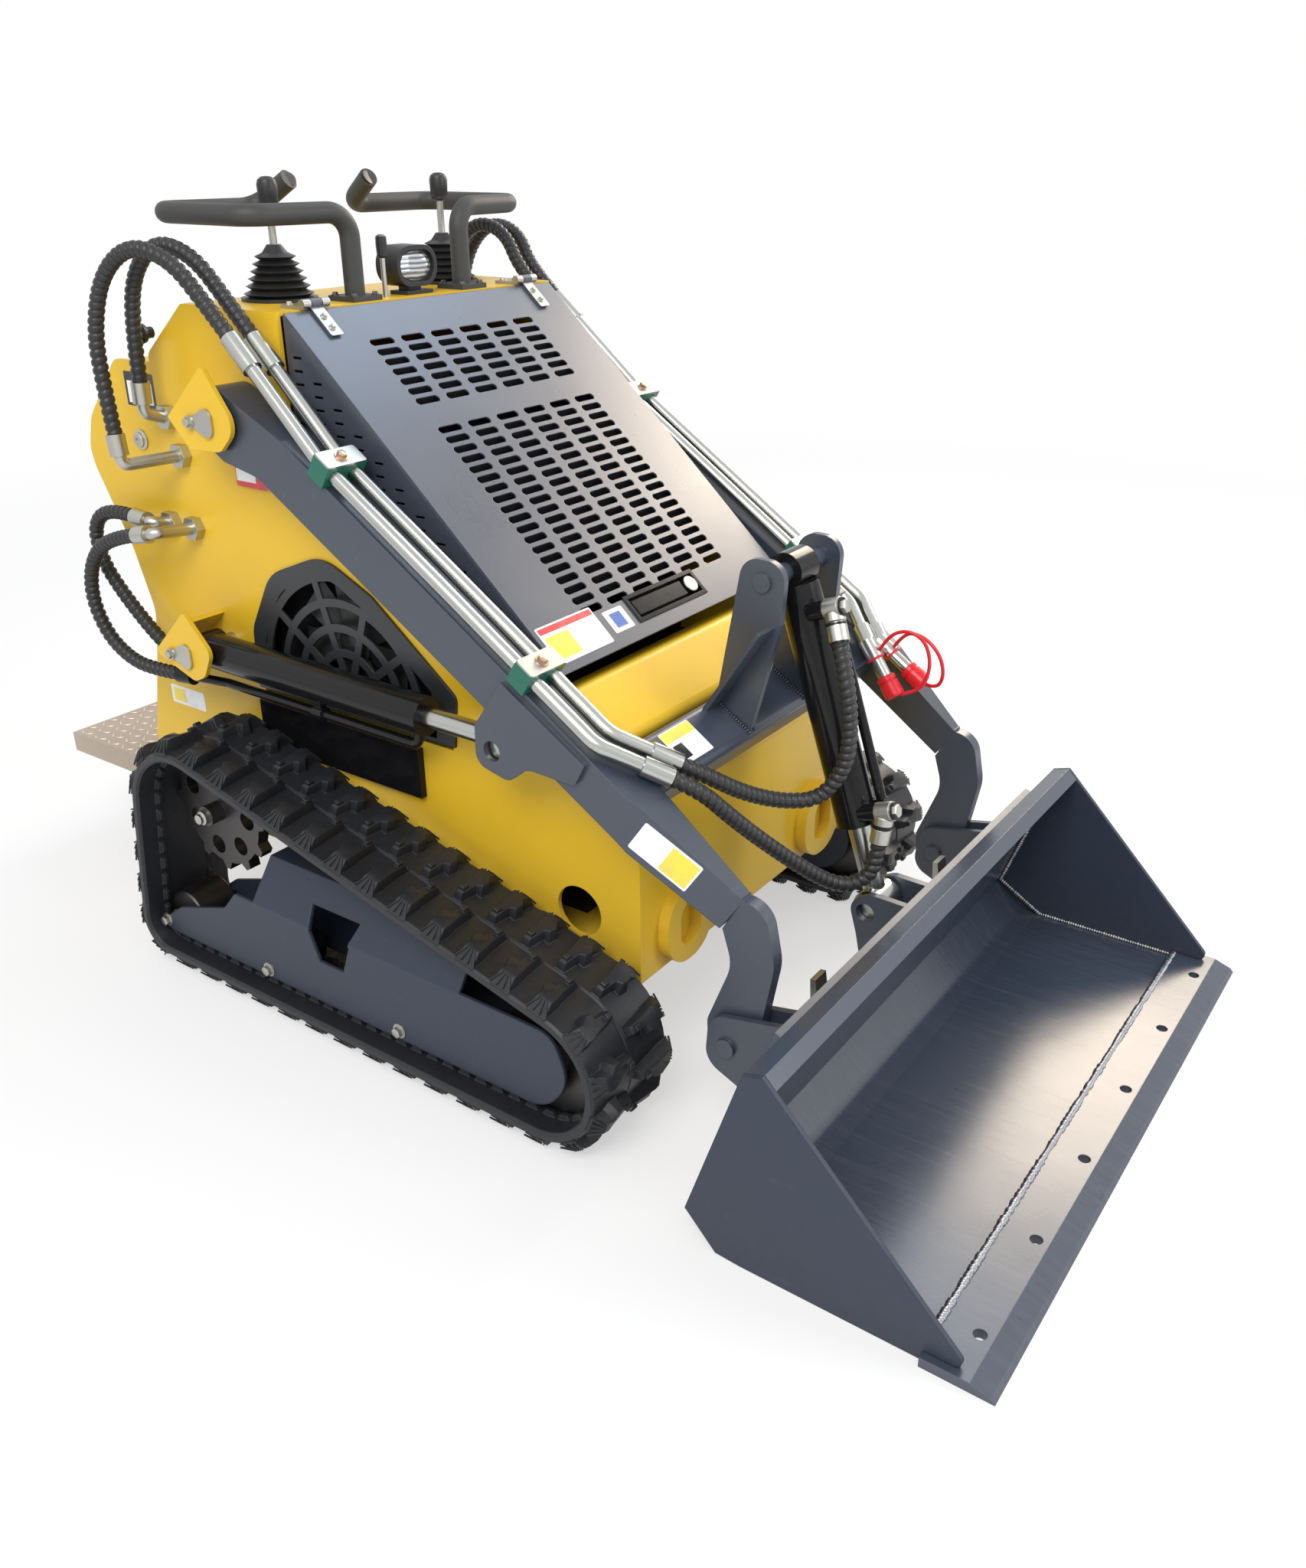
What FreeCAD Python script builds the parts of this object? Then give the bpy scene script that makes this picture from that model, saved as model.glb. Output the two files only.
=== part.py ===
import FreeCAD, Part
import math
import os
import Sketcher

# A stand-on mini skid steer loader with rubber tracks, lift arms and a bucket.
# Frame: +X forward, +Y to the machine's left, +Z up, millimetres. The origin is on the
# ground, midway between the platform's rear edge and the bucket's cutting edge.

os.makedirs("parts", exist_ok=True)
doc = FreeCAD.newDocument("mini_loader")
V = FreeCAD.Vector
sheet = doc.addObject("Spreadsheet::Sheet", "Dimensions")
row = 0


class Size:
    """A number together with the sheet formula that gives it."""

    def __init__(self, value, text):
        self.value = float(value)
        self.text = text

    def join(self, other, sign, result):
        return Size(result, "(%s %s %s)" % (self.text, sign, formula(other)))

    def __add__(self, other):
        return self.join(other, "+", self.value + number(other))

    def __radd__(self, other):
        return Size(number(other), formula(other)) + self

    def __sub__(self, other):
        return self.join(other, "-", self.value - number(other))

    def __rsub__(self, other):
        return Size(number(other), formula(other)) - self

    def __mul__(self, other):
        return self.join(other, "*", self.value * number(other))

    def __rmul__(self, other):
        return Size(number(other), formula(other)) * self

    def __truediv__(self, other):
        return self.join(other, "/", self.value / number(other))

    def __neg__(self):
        return Size(-self.value, "(0 - %s)" % self.text)


def number(item):
    return item.value if isinstance(item, Size) else float(item)


def formula(item):
    if isinstance(item, Size):
        return item.text
    return "(%.6f)" % item if item < 0 else "%.6f" % item


def root(item):
    return Size(math.sqrt(number(item)), "sqrt(%s)" % formula(item))


def angle_of(rise, run):
    return Size(math.degrees(math.atan2(number(rise), number(run))),
                "(atan2(%s; %s) / 1 deg)" % (formula(rise), formula(run)))


def size(name, value, note):
    global row
    row += 1
    sheet.set("A%d" % row, name)
    sheet.set("B%d" % row, "%g" % value)
    sheet.set("C%d" % row, note)
    sheet.setAlias("B%d" % row, name)
    return Size(value, "Dimensions.%s" % name)


# Driving dimensions
half_width_bucket = size("half_width_bucket", 544, "half of the bucket's width")
edge_overhang = size("edge_overhang", 11, "cutting edge beyond the bucket's sides")
half_width_edge = half_width_bucket + edge_overhang
half_width_chassis = size("half_width_chassis", 317, "to the side plates' outer faces")
side_wall = size("side_wall", 8, "chassis side plate")
sheet_wall = size("sheet_wall", 6, "bent chassis panels")
front_x = size("front_x", 387, "front plate's front face")
belly_z = size("belly_z", 196, "underside of the chassis")
console_z = size("console_z", 1130, "top of the console")
console_front_x = size("console_front_x", -270, "front edge of the console top")
edge_front_x = size("edge_front_x", 1075, "front of the cutting edge")
platform_rear_x = size("platform_rear_x", -1075, "rear of the standing platform")
platform_z = size("platform_z", 250, "top of the platform deck")
platform_half_width = size("platform_half_width", 310, "half of the platform's width")
platform_hinge_x = size("platform_hinge_x", -786, "platform hinge axis")

arm_pivot_x = size("arm_pivot_x", -339, "arm pin")
arm_pivot_z = size("arm_pivot_z", 977, "arm pin")
arm_outer_y = size("arm_outer_y", 400, "arm tube's outer face")
arm_inner_y = size("arm_inner_y", 336, "arm tube's inner face")
leg_outer_y = size("leg_outer_y", 358, "leg plate's outer face")
bracket_outer_y = size("bracket_outer_y", 414, "outer face of the pin brackets on the chassis")
bracket_wall = size("bracket_wall", 8, "pin bracket plate")
pin_radius = size("pin_radius", 15, "arm, cylinder and bucket pins")
pin_gap = size("pin_gap", 0.3, "clearance of a bore round its pin")
bucket_pin_x = size("bucket_pin_x", 576, "bucket pin")
bucket_pin_z = size("bucket_pin_z", 194, "bucket pin")

lift_base_x = size("lift_base_x", -485, "lift cylinder's base pin")
lift_base_z = size("lift_base_z", 574, "lift cylinder's base pin")
lift_rod_x = size("lift_rod_x", 194, "lift cylinder's rod pin")
lift_rod_z = size("lift_rod_z", 570, "lift cylinder's rod pin")
lift_y = size("lift_y", 368, "lift cylinder's centre line")
lift_barrel_radius = size("lift_barrel_radius", 31, "lift cylinder barrel")
lift_barrel_length = size("lift_barrel_length", 515, "base pin to the barrel's rod end")
lift_rod_radius = size("lift_rod_radius", 16, "lift cylinder rod")
eye_radius = size("eye_radius", 29, "eyes at the cylinders' ends")
rod_start = size("rod_start", 62, "base pin to the rod's inner end")
rod_gap = size("rod_gap", 0.6, "clearance round a rod in its barrel")

tilt_base_x = size("tilt_base_x", 446, "tilt cylinder's base pin")
tilt_base_z = size("tilt_base_z", 784, "tilt cylinder's base pin")
tilt_rod_x = size("tilt_rod_x", 622, "tilt cylinder's rod pin")
tilt_rod_z = size("tilt_rod_z", 268, "tilt cylinder's rod pin")
tilt_barrel_radius = size("tilt_barrel_radius", 33, "tilt cylinder barrel")
tilt_barrel_length = size("tilt_barrel_length", 410, "base pin to the barrel's rod end")
tilt_rod_radius = size("tilt_rod_radius", 18, "tilt cylinder rod")
tilt_gap_half = size("tilt_gap_half", 78, "half of the gap between the tilt bracket's plates")
tilt_wall = size("tilt_wall", 12, "tilt bracket and rod ear plates")
rod_gap_half = size("rod_gap_half", 32, "half of the gap between the tilt rod's ears")
tilt_eye_half = size("tilt_eye_half", 27, "half of the tilt cylinder's eye width")

track_inner_y = size("track_inner_y", 345, "track's inner edge")
track_width = size("track_width", 180, "track")
lug_height = size("lug_height", 23, "track lug")
belt_thickness = size("belt_thickness", 17, "track belt")
sprocket_x = size("sprocket_x", -417, "drive sprocket centre")
sprocket_z = size("sprocket_z", 315, "drive sprocket centre")
sprocket_radius = size("sprocket_radius", 114.5, "drive sprocket's tooth tips")
rear_roller_x = size("rear_roller_x", -521, "lower rear roller centre")
rear_roller_radius = size("rear_roller_radius", 44.5, "lower rear roller")
idler_x = size("idler_x", 339, "front idler centre")
idler_radius = size("idler_radius", 96.5, "front idler")
road_roller_radius = size("road_roller_radius", 36, "bottom rollers")
wheel_gap = size("wheel_gap", 0.5, "between a roller and the track's belt")
frame_wall = size("frame_wall", 6, "track frame plates")
frame_half = size("frame_half", 57, "half of the gap between a track frame's plates")
middle_y = track_inner_y + track_width / 2
frame_outer_y = middle_y + frame_half + frame_wall
frame_inner_y = middle_y - frame_half - frame_wall

hood_front_x = size("hood_front_x", 247, "hood's front edge")
hood_front_z = size("hood_front_z", 664, "hood's front edge")
hood_wall = size("hood_wall", 3, "hood panels")
hood_gap = size("hood_gap", 1.5, "hood side panel to chassis side plate")
tube_radius = size("tube_radius", 16, "handle tube")

FINAL = []


def finish(item, label):
    item.Label = label
    FINAL.append(item)
    return item


def bind(item, path, value):
    item.setExpression(path, formula(value))


def place(item, x=0, y=0, z=0):
    item.Placement = FreeCAD.Placement(V(number(x), number(y), number(z)), item.Placement.Rotation)
    for axis, value in zip("xyz", (x, y, z)):
        if isinstance(value, Size):
            bind(item, "Placement.Base.%s" % axis, value)


def constrain(sketch, constraint, value=None):
    index = sketch.addConstraint(constraint)
    if isinstance(value, Size):
        sketch.setExpression("Constraints[%d]" % index, value.text)
    return index


def fix_point(sketch, geometry, end, x, y):
    for kind, value in (("DistanceX", x), ("DistanceY", y)):
        constrain(sketch, Sketcher.Constraint(kind, -1, 1, geometry, end, number(value)), value)


def add_loop(sketch, corners):
    """A closed outline of straight lines; a corner (x, y, r) is rounded by radius r."""
    spots = [(number(c[0]), number(c[1])) for c in corners]
    radii = [number(c[2]) if len(c) > 2 else 0 for c in corners]
    total = len(corners)
    starts, ends, arcs = [], [], []
    for i in range(total):
        p = V(*spots[i], 0)
        before = (V(*spots[i - 1], 0) - p).normalize()
        after = (V(*spots[(i + 1) % total], 0) - p).normalize()
        if radii[i]:
            half = before.getAngle(after) / 2
            reach = radii[i] / math.tan(half)
            a, b = p + before * reach, p + after * reach
            middle = p + (before + after).normalize() * (radii[i] / math.sin(half))
            arcs.append((a, b, middle, radii[i]))
        else:
            a = b = p
            arcs.append(None)
        ends.append(a)
        starts.append(b)
    lines = [sketch.addGeometry(Part.LineSegment(starts[i], ends[(i + 1) % total]))
             for i in range(total)]
    for i in range(total):
        before, after = lines[i - 1], lines[i]
        corner = corners[i]
        if arcs[i] is None:
            sketch.addConstraint(Sketcher.Constraint("Coincident", before, 2, after, 1))
            fix_point(sketch, after, 1, corner[0], corner[1])
            continue
        a, b, middle, radius = arcs[i]
        turn = (a - middle).cross(b - middle).z
        first, last = (a, b) if turn > 0 else (b, a)
        start = math.atan2(first.y - middle.y, first.x - middle.x)
        stop = math.atan2(last.y - middle.y, last.x - middle.x)
        if stop < start:
            stop += 2 * math.pi
        arc = sketch.addGeometry(Part.ArcOfCircle(Part.Circle(middle, V(0, 0, 1), radius), start, stop))
        near, far = (1, 2) if turn > 0 else (2, 1)
        sketch.addConstraint(Sketcher.Constraint("Tangent", before, 2, arc, near))
        sketch.addConstraint(Sketcher.Constraint("Tangent", arc, far, after, 1))
        constrain(sketch, Sketcher.Constraint("Radius", arc, radius), corner[2])
        point = sketch.addGeometry(Part.Point(V(*spots[i], 0)), True)
        fix_point(sketch, point, 1, corner[0], corner[1])
        sketch.addConstraint(Sketcher.Constraint("PointOnObject", point, 1, before))
        sketch.addConstraint(Sketcher.Constraint("PointOnObject", point, 1, after))


def add_circle(sketch, x, y, radius):
    middle = V(number(x), number(y), 0)
    ring = sketch.addGeometry(Part.Circle(middle, V(0, 0, 1), number(radius)))
    fix_point(sketch, ring, 3, x, y)
    constrain(sketch, Sketcher.Constraint("Radius", ring, number(radius)), radius)


PLANES = {"side": "XZ_Plane", "flat": "XY_Plane", "front": "YZ_Plane"}


def sketch_in(body, plane, name, loops=(), circles=()):
    sketch = body.newObject("Sketcher::SketchObject", name)
    support = [f for f in body.Origin.OriginFeatures if f.Role == PLANES[plane]][0]
    sketch.AttachmentSupport = [(support, "")]
    sketch.MapMode = "FlatFace"
    for corners in loops:
        add_loop(sketch, corners)
    for x, y, radius in circles:
        add_circle(sketch, x, y, radius)
    return sketch


def plate(label, plane, start, thickness, corners, circles=(), loops=()):
    """A plate cut to an outline in the side, flat or front plane, from start along +Y, +Z or +X."""
    body = doc.addObject("PartDesign::Body", label)
    sketch = sketch_in(body, plane, label + "_outline", [corners] + list(loops), circles)
    pad = body.newObject("PartDesign::Pad", label + "_pad")
    pad.Profile = sketch
    pad.Length = number(thickness)
    bind(pad, "Length", thickness)
    if plane == "side":
        place(body, 0, start + thickness, 0)
    elif plane == "flat":
        place(body, 0, 0, start)
    else:
        place(body, start, 0, 0)
    body.Label = label
    return body


TURNS = {"x": FreeCAD.Rotation(V(0, 1, 0), 90), "y": FreeCAD.Rotation(V(1, 0, 0), -90),
         "z": FreeCAD.Rotation()}


def bar(label, axis, x, y, z, radius, length):
    """A round bar from (x, y, z) along +axis."""
    item = doc.addObject("Part::Cylinder", label)
    bind(item, "Radius", radius)
    bind(item, "Height", length)
    item.Placement = FreeCAD.Placement(V(), TURNS[axis])
    place(item, x, y, z)
    return item


def block(label, x, y, z, along, across, high):
    item = doc.addObject("Part::Box", label)
    bind(item, "Length", along)
    bind(item, "Width", across)
    bind(item, "Height", high)
    place(item, x, y, z)
    return item


def fuse(label, pieces):
    item = doc.addObject("Part::MultiFuse", label)
    item.Shapes = pieces
    item.Refine = True
    return item


def cut(label, base, tools):
    tool = tools[0] if len(tools) == 1 else fuse(label + "_tools", tools)
    item = doc.addObject("Part::Cut", label)
    item.Base = base
    item.Tool = tool
    item.Refine = True
    return item


def common(label, pieces):
    item = doc.addObject("Part::MultiCommon", label)
    item.Shapes = pieces
    return item


def mirror(label, item):
    twin = doc.addObject("Part::Mirroring", label)
    twin.Source = item
    twin.Base = V(0, 0, 0)
    twin.Normal = V(0, 1, 0)
    return twin


def together(label, items):
    group = doc.addObject("Part::Compound", label)
    group.Links = items
    return group


def both(name, item):
    """Both sides' pieces as one sub-part."""
    return finish(together(name + "_both", [item, mirror(name + "_left", item)]), name)


def pair(name, item):
    """The right-hand piece and its mirror image on the left."""
    finish(item, name + "_right")
    return finish(mirror(name + "_left", item), name + "_left")


def between(a, b, along, offset):
    """The point at a distance along the line from a to b, and offset to its upper left."""
    run = b[0] - a[0]
    rise = b[1] - a[1]
    length = root(run * run + rise * rise)
    u = (run / length, rise / length)
    return (a[0] + u[0] * along - u[1] * offset, a[1] + u[1] * along + u[0] * offset)


def tube(label, points, radius, bend=None):
    """A round tube along straight runs joined by tangent arcs, of one radius or each as wide as fits."""
    edges, bends = [], []
    here = points[0]
    for before, corner, after in zip(points, points[1:], points[2:]):
        into = (corner - before).normalize()
        out = (after - corner).normalize()
        half = into.getAngle(out) / 2
        shorter = min((corner - before).Length, (after - corner).Length)
        reach = bend * math.tan(half) if bend else 0.45 * shorter
        turn = reach / math.tan(half)
        bends.append(round(turn))
        a, b = corner - into * reach, corner + out * reach
        middle = corner + (out - into).normalize() * (turn / math.cos(half) - turn)
        edges.append(Part.LineSegment(here, a).toShape())
        edges.append(Part.Arc(a, middle, b).toShape())
        here = b
    edges.append(Part.LineSegment(here, points[-1]).toShape())
    wire = Part.Wire(edges)
    ring = Part.Wire(Part.Circle(points[0], points[1] - points[0], radius).toShape())
    item = doc.addObject("Part::Feature", label)
    item.Shape = wire.makePipeShell([ring], True, False)
    print(label, "length", round(wire.Length), "bends", bends, "volume", round(item.Shape.Volume),
          "of", round(math.pi * radius ** 2 * wire.Length))
    return item


def stub(label, end, toward, radius, length):
    """A straight round piece from a point towards another."""
    return tube(label, [end, end + (toward - end).normalize() * length], radius)


def line_bar(label, a, b, y, along, offset, radius, length):
    """A round bar in a side plane, parallel to the line from a to b."""
    item = doc.addObject("Part::Cylinder", label)
    bind(item, "Radius", radius)
    bind(item, "Height", length)
    rise, run = b[1] - a[1], b[0] - a[0]
    slant = angle_of(run, rise)
    item.Placement = FreeCAD.Placement(V(), FreeCAD.Rotation(V(0, 1, 0), number(slant)))
    bind(item, "Placement.Rotation.Angle", slant)
    x, z = between(a, b, along, offset)
    place(item, x, y, z)
    return item


# Chassis: two outline-cut side plates with bent panels between them
chassis_inner_y = half_width_chassis - side_wall
slope_rise = console_z - hood_front_z
slope_run = hood_front_x - console_front_x
side_outline = [
    (console_front_x, console_z), (console_front_x - 224, console_z, 12),
    (console_front_x - 329, console_z - 84, 20), (console_front_x - 329, console_z - 97),
    (console_front_x - 425, console_z - 99, 30), (console_front_x - 476, console_z - 155, 60),
    (console_front_x - 522, console_z - 205, 60), (console_front_x - 541, console_z - 262, 40),
    (console_front_x - 533, console_z - 294, 30), (console_front_x - 465, console_z - 428),
    (console_front_x - 429, console_z - 541, 60), (console_front_x - 444, console_z - 615, 60),
    (console_front_x - 492, console_z - 796, 40), (console_front_x - 492, belly_z + 22),
    (console_front_x - 470, belly_z), (front_x, belly_z), (front_x, belly_z + 284),
    (front_x - 14, belly_z + 284), (front_x - 73, belly_z + 336, 12),
    (front_x - 46, belly_z + 376, 20), (hood_front_x + 22, hood_front_z - 16, 30),
    (hood_front_x + 2, hood_front_z - 14), (hood_front_x - 22, hood_front_z - 30),
    (console_front_x, console_z - 250)]
grille_x, grille_z = -190, 540
vent = [(grille_x - 225, grille_z - 45), (grille_x - 222, grille_z + 62, 60),
        (grille_x - 160, grille_z + 168, 90), (grille_x - 30, grille_z + 220, 90),
        (grille_x + 60, grille_z + 172, 60), (grille_x + 228, grille_z + 40, 20),
        (grille_x + 218, grille_z - 45)]
plate_blank = plate("side_plate_blank", "side", -half_width_chassis, side_wall, side_outline,
                    circles=[(front_x - 116, belly_z + 91, 42)], loops=[vent])
pair("side_plate", plate_blank)

panel_width = chassis_inner_y * 2
finish(plate("front_plate", "front", front_x - side_wall, side_wall,
             [(-chassis_inner_y, belly_z), (chassis_inner_y, belly_z),
              (chassis_inner_y, belly_z + 276), (-chassis_inner_y, belly_z + 276)]), "front_plate")
finish(plate("nose_panel", "side", -chassis_inner_y, panel_width,
             [(hood_front_x - 40, hood_front_z - 40), (hood_front_x + 12, hood_front_z - 20, 14),
              (front_x - 48, belly_z + 375, 18), (front_x - 75, belly_z + 335, 14),
              (front_x - 16, belly_z + 284), (front_x, belly_z + 284), (front_x, belly_z + 276),
              (front_x - 19, belly_z + 276), (front_x - 83, belly_z + 333, 20),
              (front_x - 56, belly_z + 373, 12), (hood_front_x + 10, hood_front_z - 27, 8),
              (hood_front_x - 40, hood_front_z - 47)]), "nose_panel")
finish(block("belly_plate", console_front_x - 466, -chassis_inner_y, belly_z,
             front_x - side_wall - console_front_x + 466, panel_width, side_wall), "belly_plate")

# Console: one bent panel over the top and down the rear
skin_out = [(console_front_x, console_z), (console_front_x - 224, console_z),
            (console_front_x - 327, console_z - 86), (console_front_x - 333, console_z - 99),
            (console_front_x - 424, console_z - 101, 30), (console_front_x - 474, console_z - 157, 60),
            (console_front_x - 519, console_z - 205, 60), (console_front_x - 538, console_z - 262, 40),
            (console_front_x - 530, console_z - 292, 30), (console_front_x - 462, console_z - 428),
            (console_front_x - 426, console_z - 541, 60), (console_front_x - 441, console_z - 615, 60),
            (console_front_x - 489, console_z - 796, 40), (console_front_x - 489, belly_z + 22)]
skin_in = [(console_front_x - 483, belly_z + 22), (console_front_x - 483, console_z - 795, 36),
           (console_front_x - 435, console_z - 615, 54), (console_front_x - 420, console_z - 541, 54),
           (console_front_x - 456, console_z - 427), (console_front_x - 524, console_z - 290, 26),
           (console_front_x - 532, console_z - 262, 36), (console_front_x - 513, console_z - 208, 54),
           (console_front_x - 469, console_z - 161, 54), (console_front_x - 421, console_z - 107, 24),
           (console_front_x - 329, console_z - 105), (console_front_x - 322, console_z - 90),
           (console_front_x - 222, console_z - sheet_wall), (console_front_x, console_z - sheet_wall)]
finish(plate("console_panel", "side", -chassis_inner_y, panel_width, skin_out + skin_in),
       "console_panel")

# Engine and pump, one plain block on the belly plate
finish(block("engine_block", -230, -210, belly_z + side_wall, 430, 420, 360), "engine_block")

# Arm towers: an outer plate stands off each side plate on a bent web
web_y = bracket_outer_y - bracket_wall
tower = [(arm_pivot_x + 2, arm_pivot_z + 83, 6), (arm_pivot_x + 53, arm_pivot_z + 14, 30),
         (arm_pivot_x + 58, arm_pivot_z - 10, 30), (arm_pivot_x + 23, arm_pivot_z - 42, 20),
         (arm_pivot_x - 50, arm_pivot_z - 46), (arm_pivot_x - 94, arm_pivot_z - 1)]
tower_plate = plate("tower_plate", "side", -bracket_outer_y, bracket_wall, tower,
                    circles=[(arm_pivot_x, arm_pivot_z, pin_radius)])
tower_web = plate("tower_web", "side", -web_y, web_y - half_width_chassis,
                  [(arm_pivot_x - 44, arm_pivot_z + 42), (arm_pivot_x - 94, arm_pivot_z - 1),
                   (arm_pivot_x - 50, arm_pivot_z - 46), (arm_pivot_x - 44, arm_pivot_z - 40),
                   (arm_pivot_x - 83, arm_pivot_z), (arm_pivot_x - 39, arm_pivot_z + 36)])
pair("arm_tower", fuse("arm_tower_right", [tower_plate, tower_web]))

base_pin = (lift_base_x, lift_base_z)
bracket = [(lift_base_x + 7, lift_base_z + 78, 6), (lift_base_x + 66, lift_base_z + 16, 20),
           (lift_base_x + 42, lift_base_z - 30, 30), (lift_base_x + 14, lift_base_z - 43, 20),
           (lift_base_x - 87, lift_base_z - 9, 8)]
bracket_plate = plate("bracket_plate", "side", -bracket_outer_y, bracket_wall, bracket,
                      circles=[(lift_base_x, lift_base_z, pin_radius)])
bracket_web = plate("bracket_web", "side", -web_y, web_y - half_width_chassis,
                    [(lift_base_x - 20, lift_base_z + 53), (lift_base_x - 87, lift_base_z - 9),
                     (lift_base_x - 80, lift_base_z - 12), (lift_base_x - 14, lift_base_z + 48)])
pair("lift_bracket", fuse("lift_bracket_right", [bracket_plate, bracket_web]))

# Fixed pins of the arms and the lift cylinders, each with a keeper plate on the bracket
def fixed_pin(label, x, z):
    shaft = bar(label + "_shaft", "y", x, -bracket_outer_y, z, pin_radius, bracket_outer_y - half_width_chassis)
    keeper = plate(label + "_keeper", "side", -bracket_outer_y - 5, 5,
                   [(x - 46, z - 2, 11), (x + 16, z + 30, 14), (x + 16, z - 30, 14)])
    return fuse(label, [shaft, keeper])


pair("chassis_pins", together("chassis_pins_right", [
    fixed_pin("arm_pin", arm_pivot_x, arm_pivot_z), fixed_pin("lift_base_pin", lift_base_x, lift_base_z)]))

# Fan grilles: hoops and ribs inside a rim
def spot(angle, radius):
    return (grille_x + radius * math.cos(math.radians(angle)),
            grille_z + radius * math.sin(math.radians(angle)))


rim_inside = [(grille_x - 203, grille_z - 30), (grille_x - 200, grille_z + 56, 50),
              (grille_x - 146, grille_z + 152, 76), (grille_x - 30, grille_z + 198, 76),
              (grille_x + 50, grille_z + 154, 50), (grille_x + 200, grille_z + 34, 14),
              (grille_x + 194, grille_z - 30)]
grille_y = -half_width_chassis - 5
rim_outside = [(x - 8 if x < grille_x else x + 8, z + 8, *r) for x, z, *r in vent]
rim = plate("grille_rim", "side", grille_y, 5, rim_outside, loops=[rim_inside])
hoops = []
for number_of, radius in enumerate((36, 78, 120, 162, 204)):
    outer = bar("hoop_outer_%d" % number_of, "y", grille_x, grille_y, grille_z, radius, 4)
    inner = bar("hoop_inner_%d" % number_of, "y", grille_x, grille_y - 1, grille_z, radius - 14, 6)
    hoops.append(cut("hoop_%d" % number_of, outer, [inner]))
ribs = []
for step, angle in enumerate((0, 36, 72, 108, 144, 180)):
    tip, foot = spot(angle, 240), spot(angle, 24)
    side = (7 * math.sin(math.radians(angle)), -7 * math.cos(math.radians(angle)))
    ribs.append(plate("rib_%d" % step, "side", grille_y, 4,
                      [(tip[0] + side[0], tip[1] + side[1]), (tip[0] - side[0], tip[1] - side[1]),
                       (foot[0] - side[0], foot[1] - side[1]), (foot[0] + side[0], foot[1] + side[1])]))
inside = plate("grille_field", "side", grille_y, 5, rim_inside)
web = common("grille_web", [fuse("grille_bars", hoops + ribs), inside])
both("fan_grilles", fuse("fan_grille_right", [rim, web]))
both("side_boxes", block("side_box", -420, -half_width_chassis - 12, belly_z + 200, 380, 12, 86))


# Running gear. Each belt is one closed loop round the sprocket, the rear roller and the idler.
idler_z = idler_radius + wheel_gap + belt_thickness + lug_height
rear_roller_z = rear_roller_radius + wheel_gap + belt_thickness + lug_height
road_roller_z = road_roller_radius + wheel_gap + belt_thickness + lug_height


def loop_points(offset):
    """Tangent loop round the three wheels at an offset: (arc centre, radius, start, end) in order."""
    wheels = [(number(idler_x), number(idler_z), number(idler_radius)),
              (number(sprocket_x), number(sprocket_z), number(sprocket_radius)),
              (number(rear_roller_x), number(rear_roller_z), number(rear_roller_radius))]
    normals = []
    for i in range(3):
        x1, z1, r1 = wheels[i]
        x2, z2, r2 = wheels[(i + 1) % 3]
        dx, dz = x2 - x1, z2 - z1
        length = math.hypot(dx, dz)
        heading = math.atan2(dz, dx)
        normals.append(heading - math.pi / 2 - math.asin((r2 - r1) / length) * 1.0)
    out = []
    for i in range(3):
        x, z, r = wheels[i]
        start, stop = normals[i - 1], normals[i]
        while stop < start:
            stop += 2 * math.pi
        out.append((x, z, r + offset, start, stop))
    return out


def walk(offset, step):
    """Points and outward normals along the loop, every step millimetres."""
    arcs = loop_points(offset)
    pieces = []
    for i, (x, z, r, start, stop) in enumerate(arcs):
        pieces.append(("arc", x, z, r, start, stop, r * (stop - start)))
        nx, nz, nr, nstart = arcs[(i + 1) % 3][:4]
        a = (x + r * math.cos(stop), z + r * math.sin(stop))
        b = (nx + nr * math.cos(stop), nz + nr * math.sin(stop))
        pieces.append(("line", a, b, stop, math.dist(a, b)))
    total = sum(p[-1] for p in pieces)
    return pieces, total


def at(pieces, total, s):
    s = s % total
    for p in pieces:
        if s <= p[-1]:
            if p[0] == "arc":
                angle = p[4] + s / p[3]
                return (p[1] + p[3] * math.cos(angle), p[2] + p[3] * math.sin(angle), angle)
            t = s / p[-1]
            return (p[1][0] + (p[2][0] - p[1][0]) * t, p[1][1] + (p[2][1] - p[1][1]) * t, p[3])
        s -= p[-1]
    return at(pieces, total, 0)


def loop_face(offset):
    edges = []
    arcs = loop_points(offset)
    for i, (x, z, r, start, stop) in enumerate(arcs):
        spots = [V(x + r * math.cos(a), 0, z + r * math.sin(a)) for a in (start, (start + stop) / 2, stop)]
        edges.append(Part.Arc(*spots).toShape())
        nx, nz, nr = arcs[(i + 1) % 3][:3]
        edges.append(Part.LineSegment(spots[2], V(nx + nr * math.cos(stop), 0, nz + nr * math.sin(stop))).toShape())
    return Part.Face(Part.Wire(edges))


belt_in = number(wheel_gap)
belt_out = belt_in + number(belt_thickness)
pieces, total = walk(belt_out, 1)
lugs = 37
pitch = total / lugs
width = number(track_width)


def lug(s, y, across, foot, crown):
    """One tapered lug standing on the belt; its foot sinks a little into it."""
    x, z, angle = at(pieces, total, s)
    out = V(math.cos(angle), 0, math.sin(angle))
    along = V(-out.z, 0, out.x)
    middle = V(x, y, z)
    low, high = middle - out * 3, middle + out * number(lug_height)
    rings = []
    for base, half_along, half_across in ((low, foot / 2 + 1, across / 2), (high, crown / 2, across / 2 - 4)):
        ring = [base + along * (half_along * i) + V(0, half_across * j, 0)
                for i, j in ((-1, -1), (1, -1), (1, 1), (-1, 1))]
        rings.append(Part.makePolygon(ring + [ring[0]]))
    return Part.makeLoft(rings, True, True)


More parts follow.
